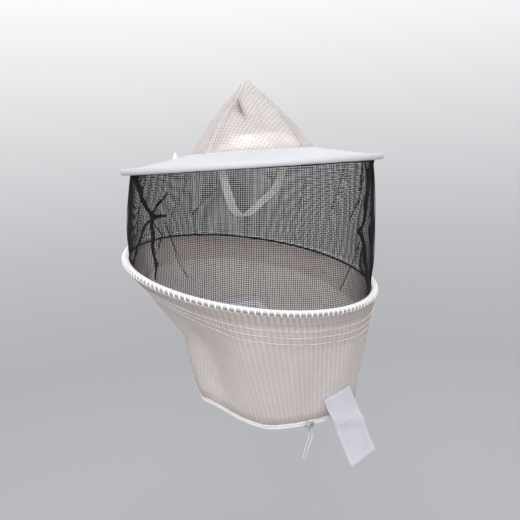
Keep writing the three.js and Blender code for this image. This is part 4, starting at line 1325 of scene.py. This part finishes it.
def make_flap():
    across, down = grid(40, 76)
    side = across * 2 - 1
    cloth_map = np.stack([across * FLAP_WIDTH, down * FLAP_LENGTH], axis=-1)
    hem = 0.0005 * np.maximum(bump(np.abs(side), 0.93, 0.05), bump(down, 0.965, 0.025))
    cloth = cloth_mesh("cover_flap_cloth", flap_at(side, down, hem), cloth_map, FLAP_CLOTH)
    thicken(cloth, 0.0020)
    dress(cloth, "flap", "flap_cloth", "cover_flap")
    patch_map = np.stack([across * PATCH_WIDTH, down * PATCH_LENGTH], axis=-1)
    patch = cloth_mesh("hook_patch_pile", flap_at(side * 0.86, 0.37 + 0.59 * down, -0.0024),
                       patch_map, HOOK_PILE)
    thicken(patch, 0.0012)
    dress(patch, "flap", "hook_tape", "hook_patch")
    # the patch's outline shows as rows of stitches on the outer face, and one row sews the top
    k = np.linspace(-1, 1, 30)
    along = PATCH_SEWN * (k + 1) / 2
    rows = ((k * PATCH_HALF, PATCH_SEWN_TOP), (PATCH_HALF, PATCH_SEWN_TOP + along),
            (-k * PATCH_HALF, PATCH_SEWN_FOOT), (-PATCH_HALF, PATCH_SEWN_FOOT - along),
            (k * 0.96, 0.03))
    stitching = stitch_rows("flap_stitching", [flap_at(*row, 0.0002) for row in rows],
                            pitch=0.0026, length=0.0020, thread=0.00025, closed=False)
    dress(stitching, "flap", "flap_cloth")


# ------------------------------------------------------------------ nodes kept as the CAD has them
KEPT_NODES = {
    "brim_core": CORE_CLOTH, "brim_wire": STEEL, "brim_wire_ferrule": STEEL,
    "strap_anchor_left": WHITE_COTTON, "strap_anchor_right": WHITE_COTTON,
    "hoop_wire": STEEL, "hoop_wire_ferrule": STEEL, "zip_pin": NYLON, "zip_end_stop": NYLON,
}


def dress_kept_nodes():
    for name, material in KEPT_NODES.items():
        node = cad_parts[name]
        node.data.materials.clear()
        node.data.materials.append(material)


# ------------------------------------------------------------------ floor and light
# how bright the paper glows, by share of the way up from the floor
PAPER_GLOW = ((0.0, 0.05), (0.12, 0.15), (0.25, 0.30), (0.52, 0.60), (1.0, 0.98))
PAPER_GRAY = (0.335, 0.335, 0.345)
PAPER_RISE = 3.2
FLOOR_DROP = 0.30                 # the floor lies this far under the hood
# the paper's section: distance from the middle, and height
PAPER_PROFILE = ((1.6, 0.0), (2.0, 0.03), (2.5, 0.2), (2.9, 0.55), (3.1, 1.1), (3.2, 2.0),
                 (3.2, 4.2))
# name, place, what it faces, size in metres and watts
LIGHTS = (("overhead_softbox", (-0.3, -0.2, 2.4), (0, 0, -0.2), 2.2, 15),
          ("camera_fill", (-1.9, -1.5, 0.35), (0, 0, -0.2), 1.6, 40),
          ("far_rim", (1.8, 1.3, 1.4), (0, 0, -0.1), 1.4, 5))


def make_stage():
    """A pale round floor that curves up into a plain backdrop on every side."""
    floor_z = CAD_BOX[0][2] - FLOOR_DROP
    path = smooth_path(PAPER_PROFILE)
    path = np.vstack([[0.001, 0.0], path])
    angle = np.linspace(0, TAU, 97)[:-1]
    points = ring(path[None, :, 0], angle[:, None], path[None, :, 1] + floor_z)
    cloth_map = np.zeros((len(angle) + 1, len(path), 2))
    material, tree, shader = principled("backdrop_paper", PAPER_GRAY, 0.95)
    height = add(tree, "ShaderNodeSeparateXYZ",
                 {0: add(tree, "ShaderNodeTexCoord").outputs["Object"]}).outputs["Z"]
    rise = add(tree, "ShaderNodeMapRange", {"Value": height, "From Min": floor_z,
                                            "From Max": floor_z + PAPER_RISE})
    ramp = add(tree, "ShaderNodeValToRGB", {"Fac": rise.outputs["Result"]})
    for place, shade in PAPER_GLOW[1:-1]:
        ramp.color_ramp.elements.new(place)
    for stop, (place, shade) in zip(ramp.color_ramp.elements, PAPER_GLOW):
        stop.position, stop.color = place, (shade, shade, shade, 1)
    tree.links.new(ramp.outputs["Color"], shader.inputs["Emission Color"])
    shader.inputs["Emission Strength"].default_value = 1.0
    floor = cloth_mesh("studio_floor", points, cloth_map, material, closed=True)
    floor.data.flip_normals()


def area_light(name, place, aim, size, power):
    data = bpy.data.lights.new(name, "AREA")
    data.shape = "DISK"
    data.size = size
    data.energy = power
    light = placed_object(name, data)
    light.visible_camera = False
    light.location = place
    light.rotation_euler = (Vector(aim) - Vector(place)).to_track_quat("-Z", "Y").to_euler()


def make_light():
    world = bpy.data.worlds.new("studio_air")
    world.use_nodes = True
    air = world.node_tree.nodes["Background"]
    air.inputs["Color"].default_value = (0.92, 0.95, 1.0, 1)
    air.inputs["Strength"].default_value = 0.95
    bpy.context.scene.world = world
    bpy.context.scene.view_settings.view_transform = "Standard"
    for light in LIGHTS:
        area_light(*light)


# ------------------------------------------------------------------ build
make_crown()
make_brim()
make_hanging_tab()
make_chin_strap()
make_net()
make_net_bundles()
make_net_tapes()
make_hoop()
make_skirt()
make_zip()
make_slider()
make_flap()
dress_kept_nodes()
make_stage()
make_light()
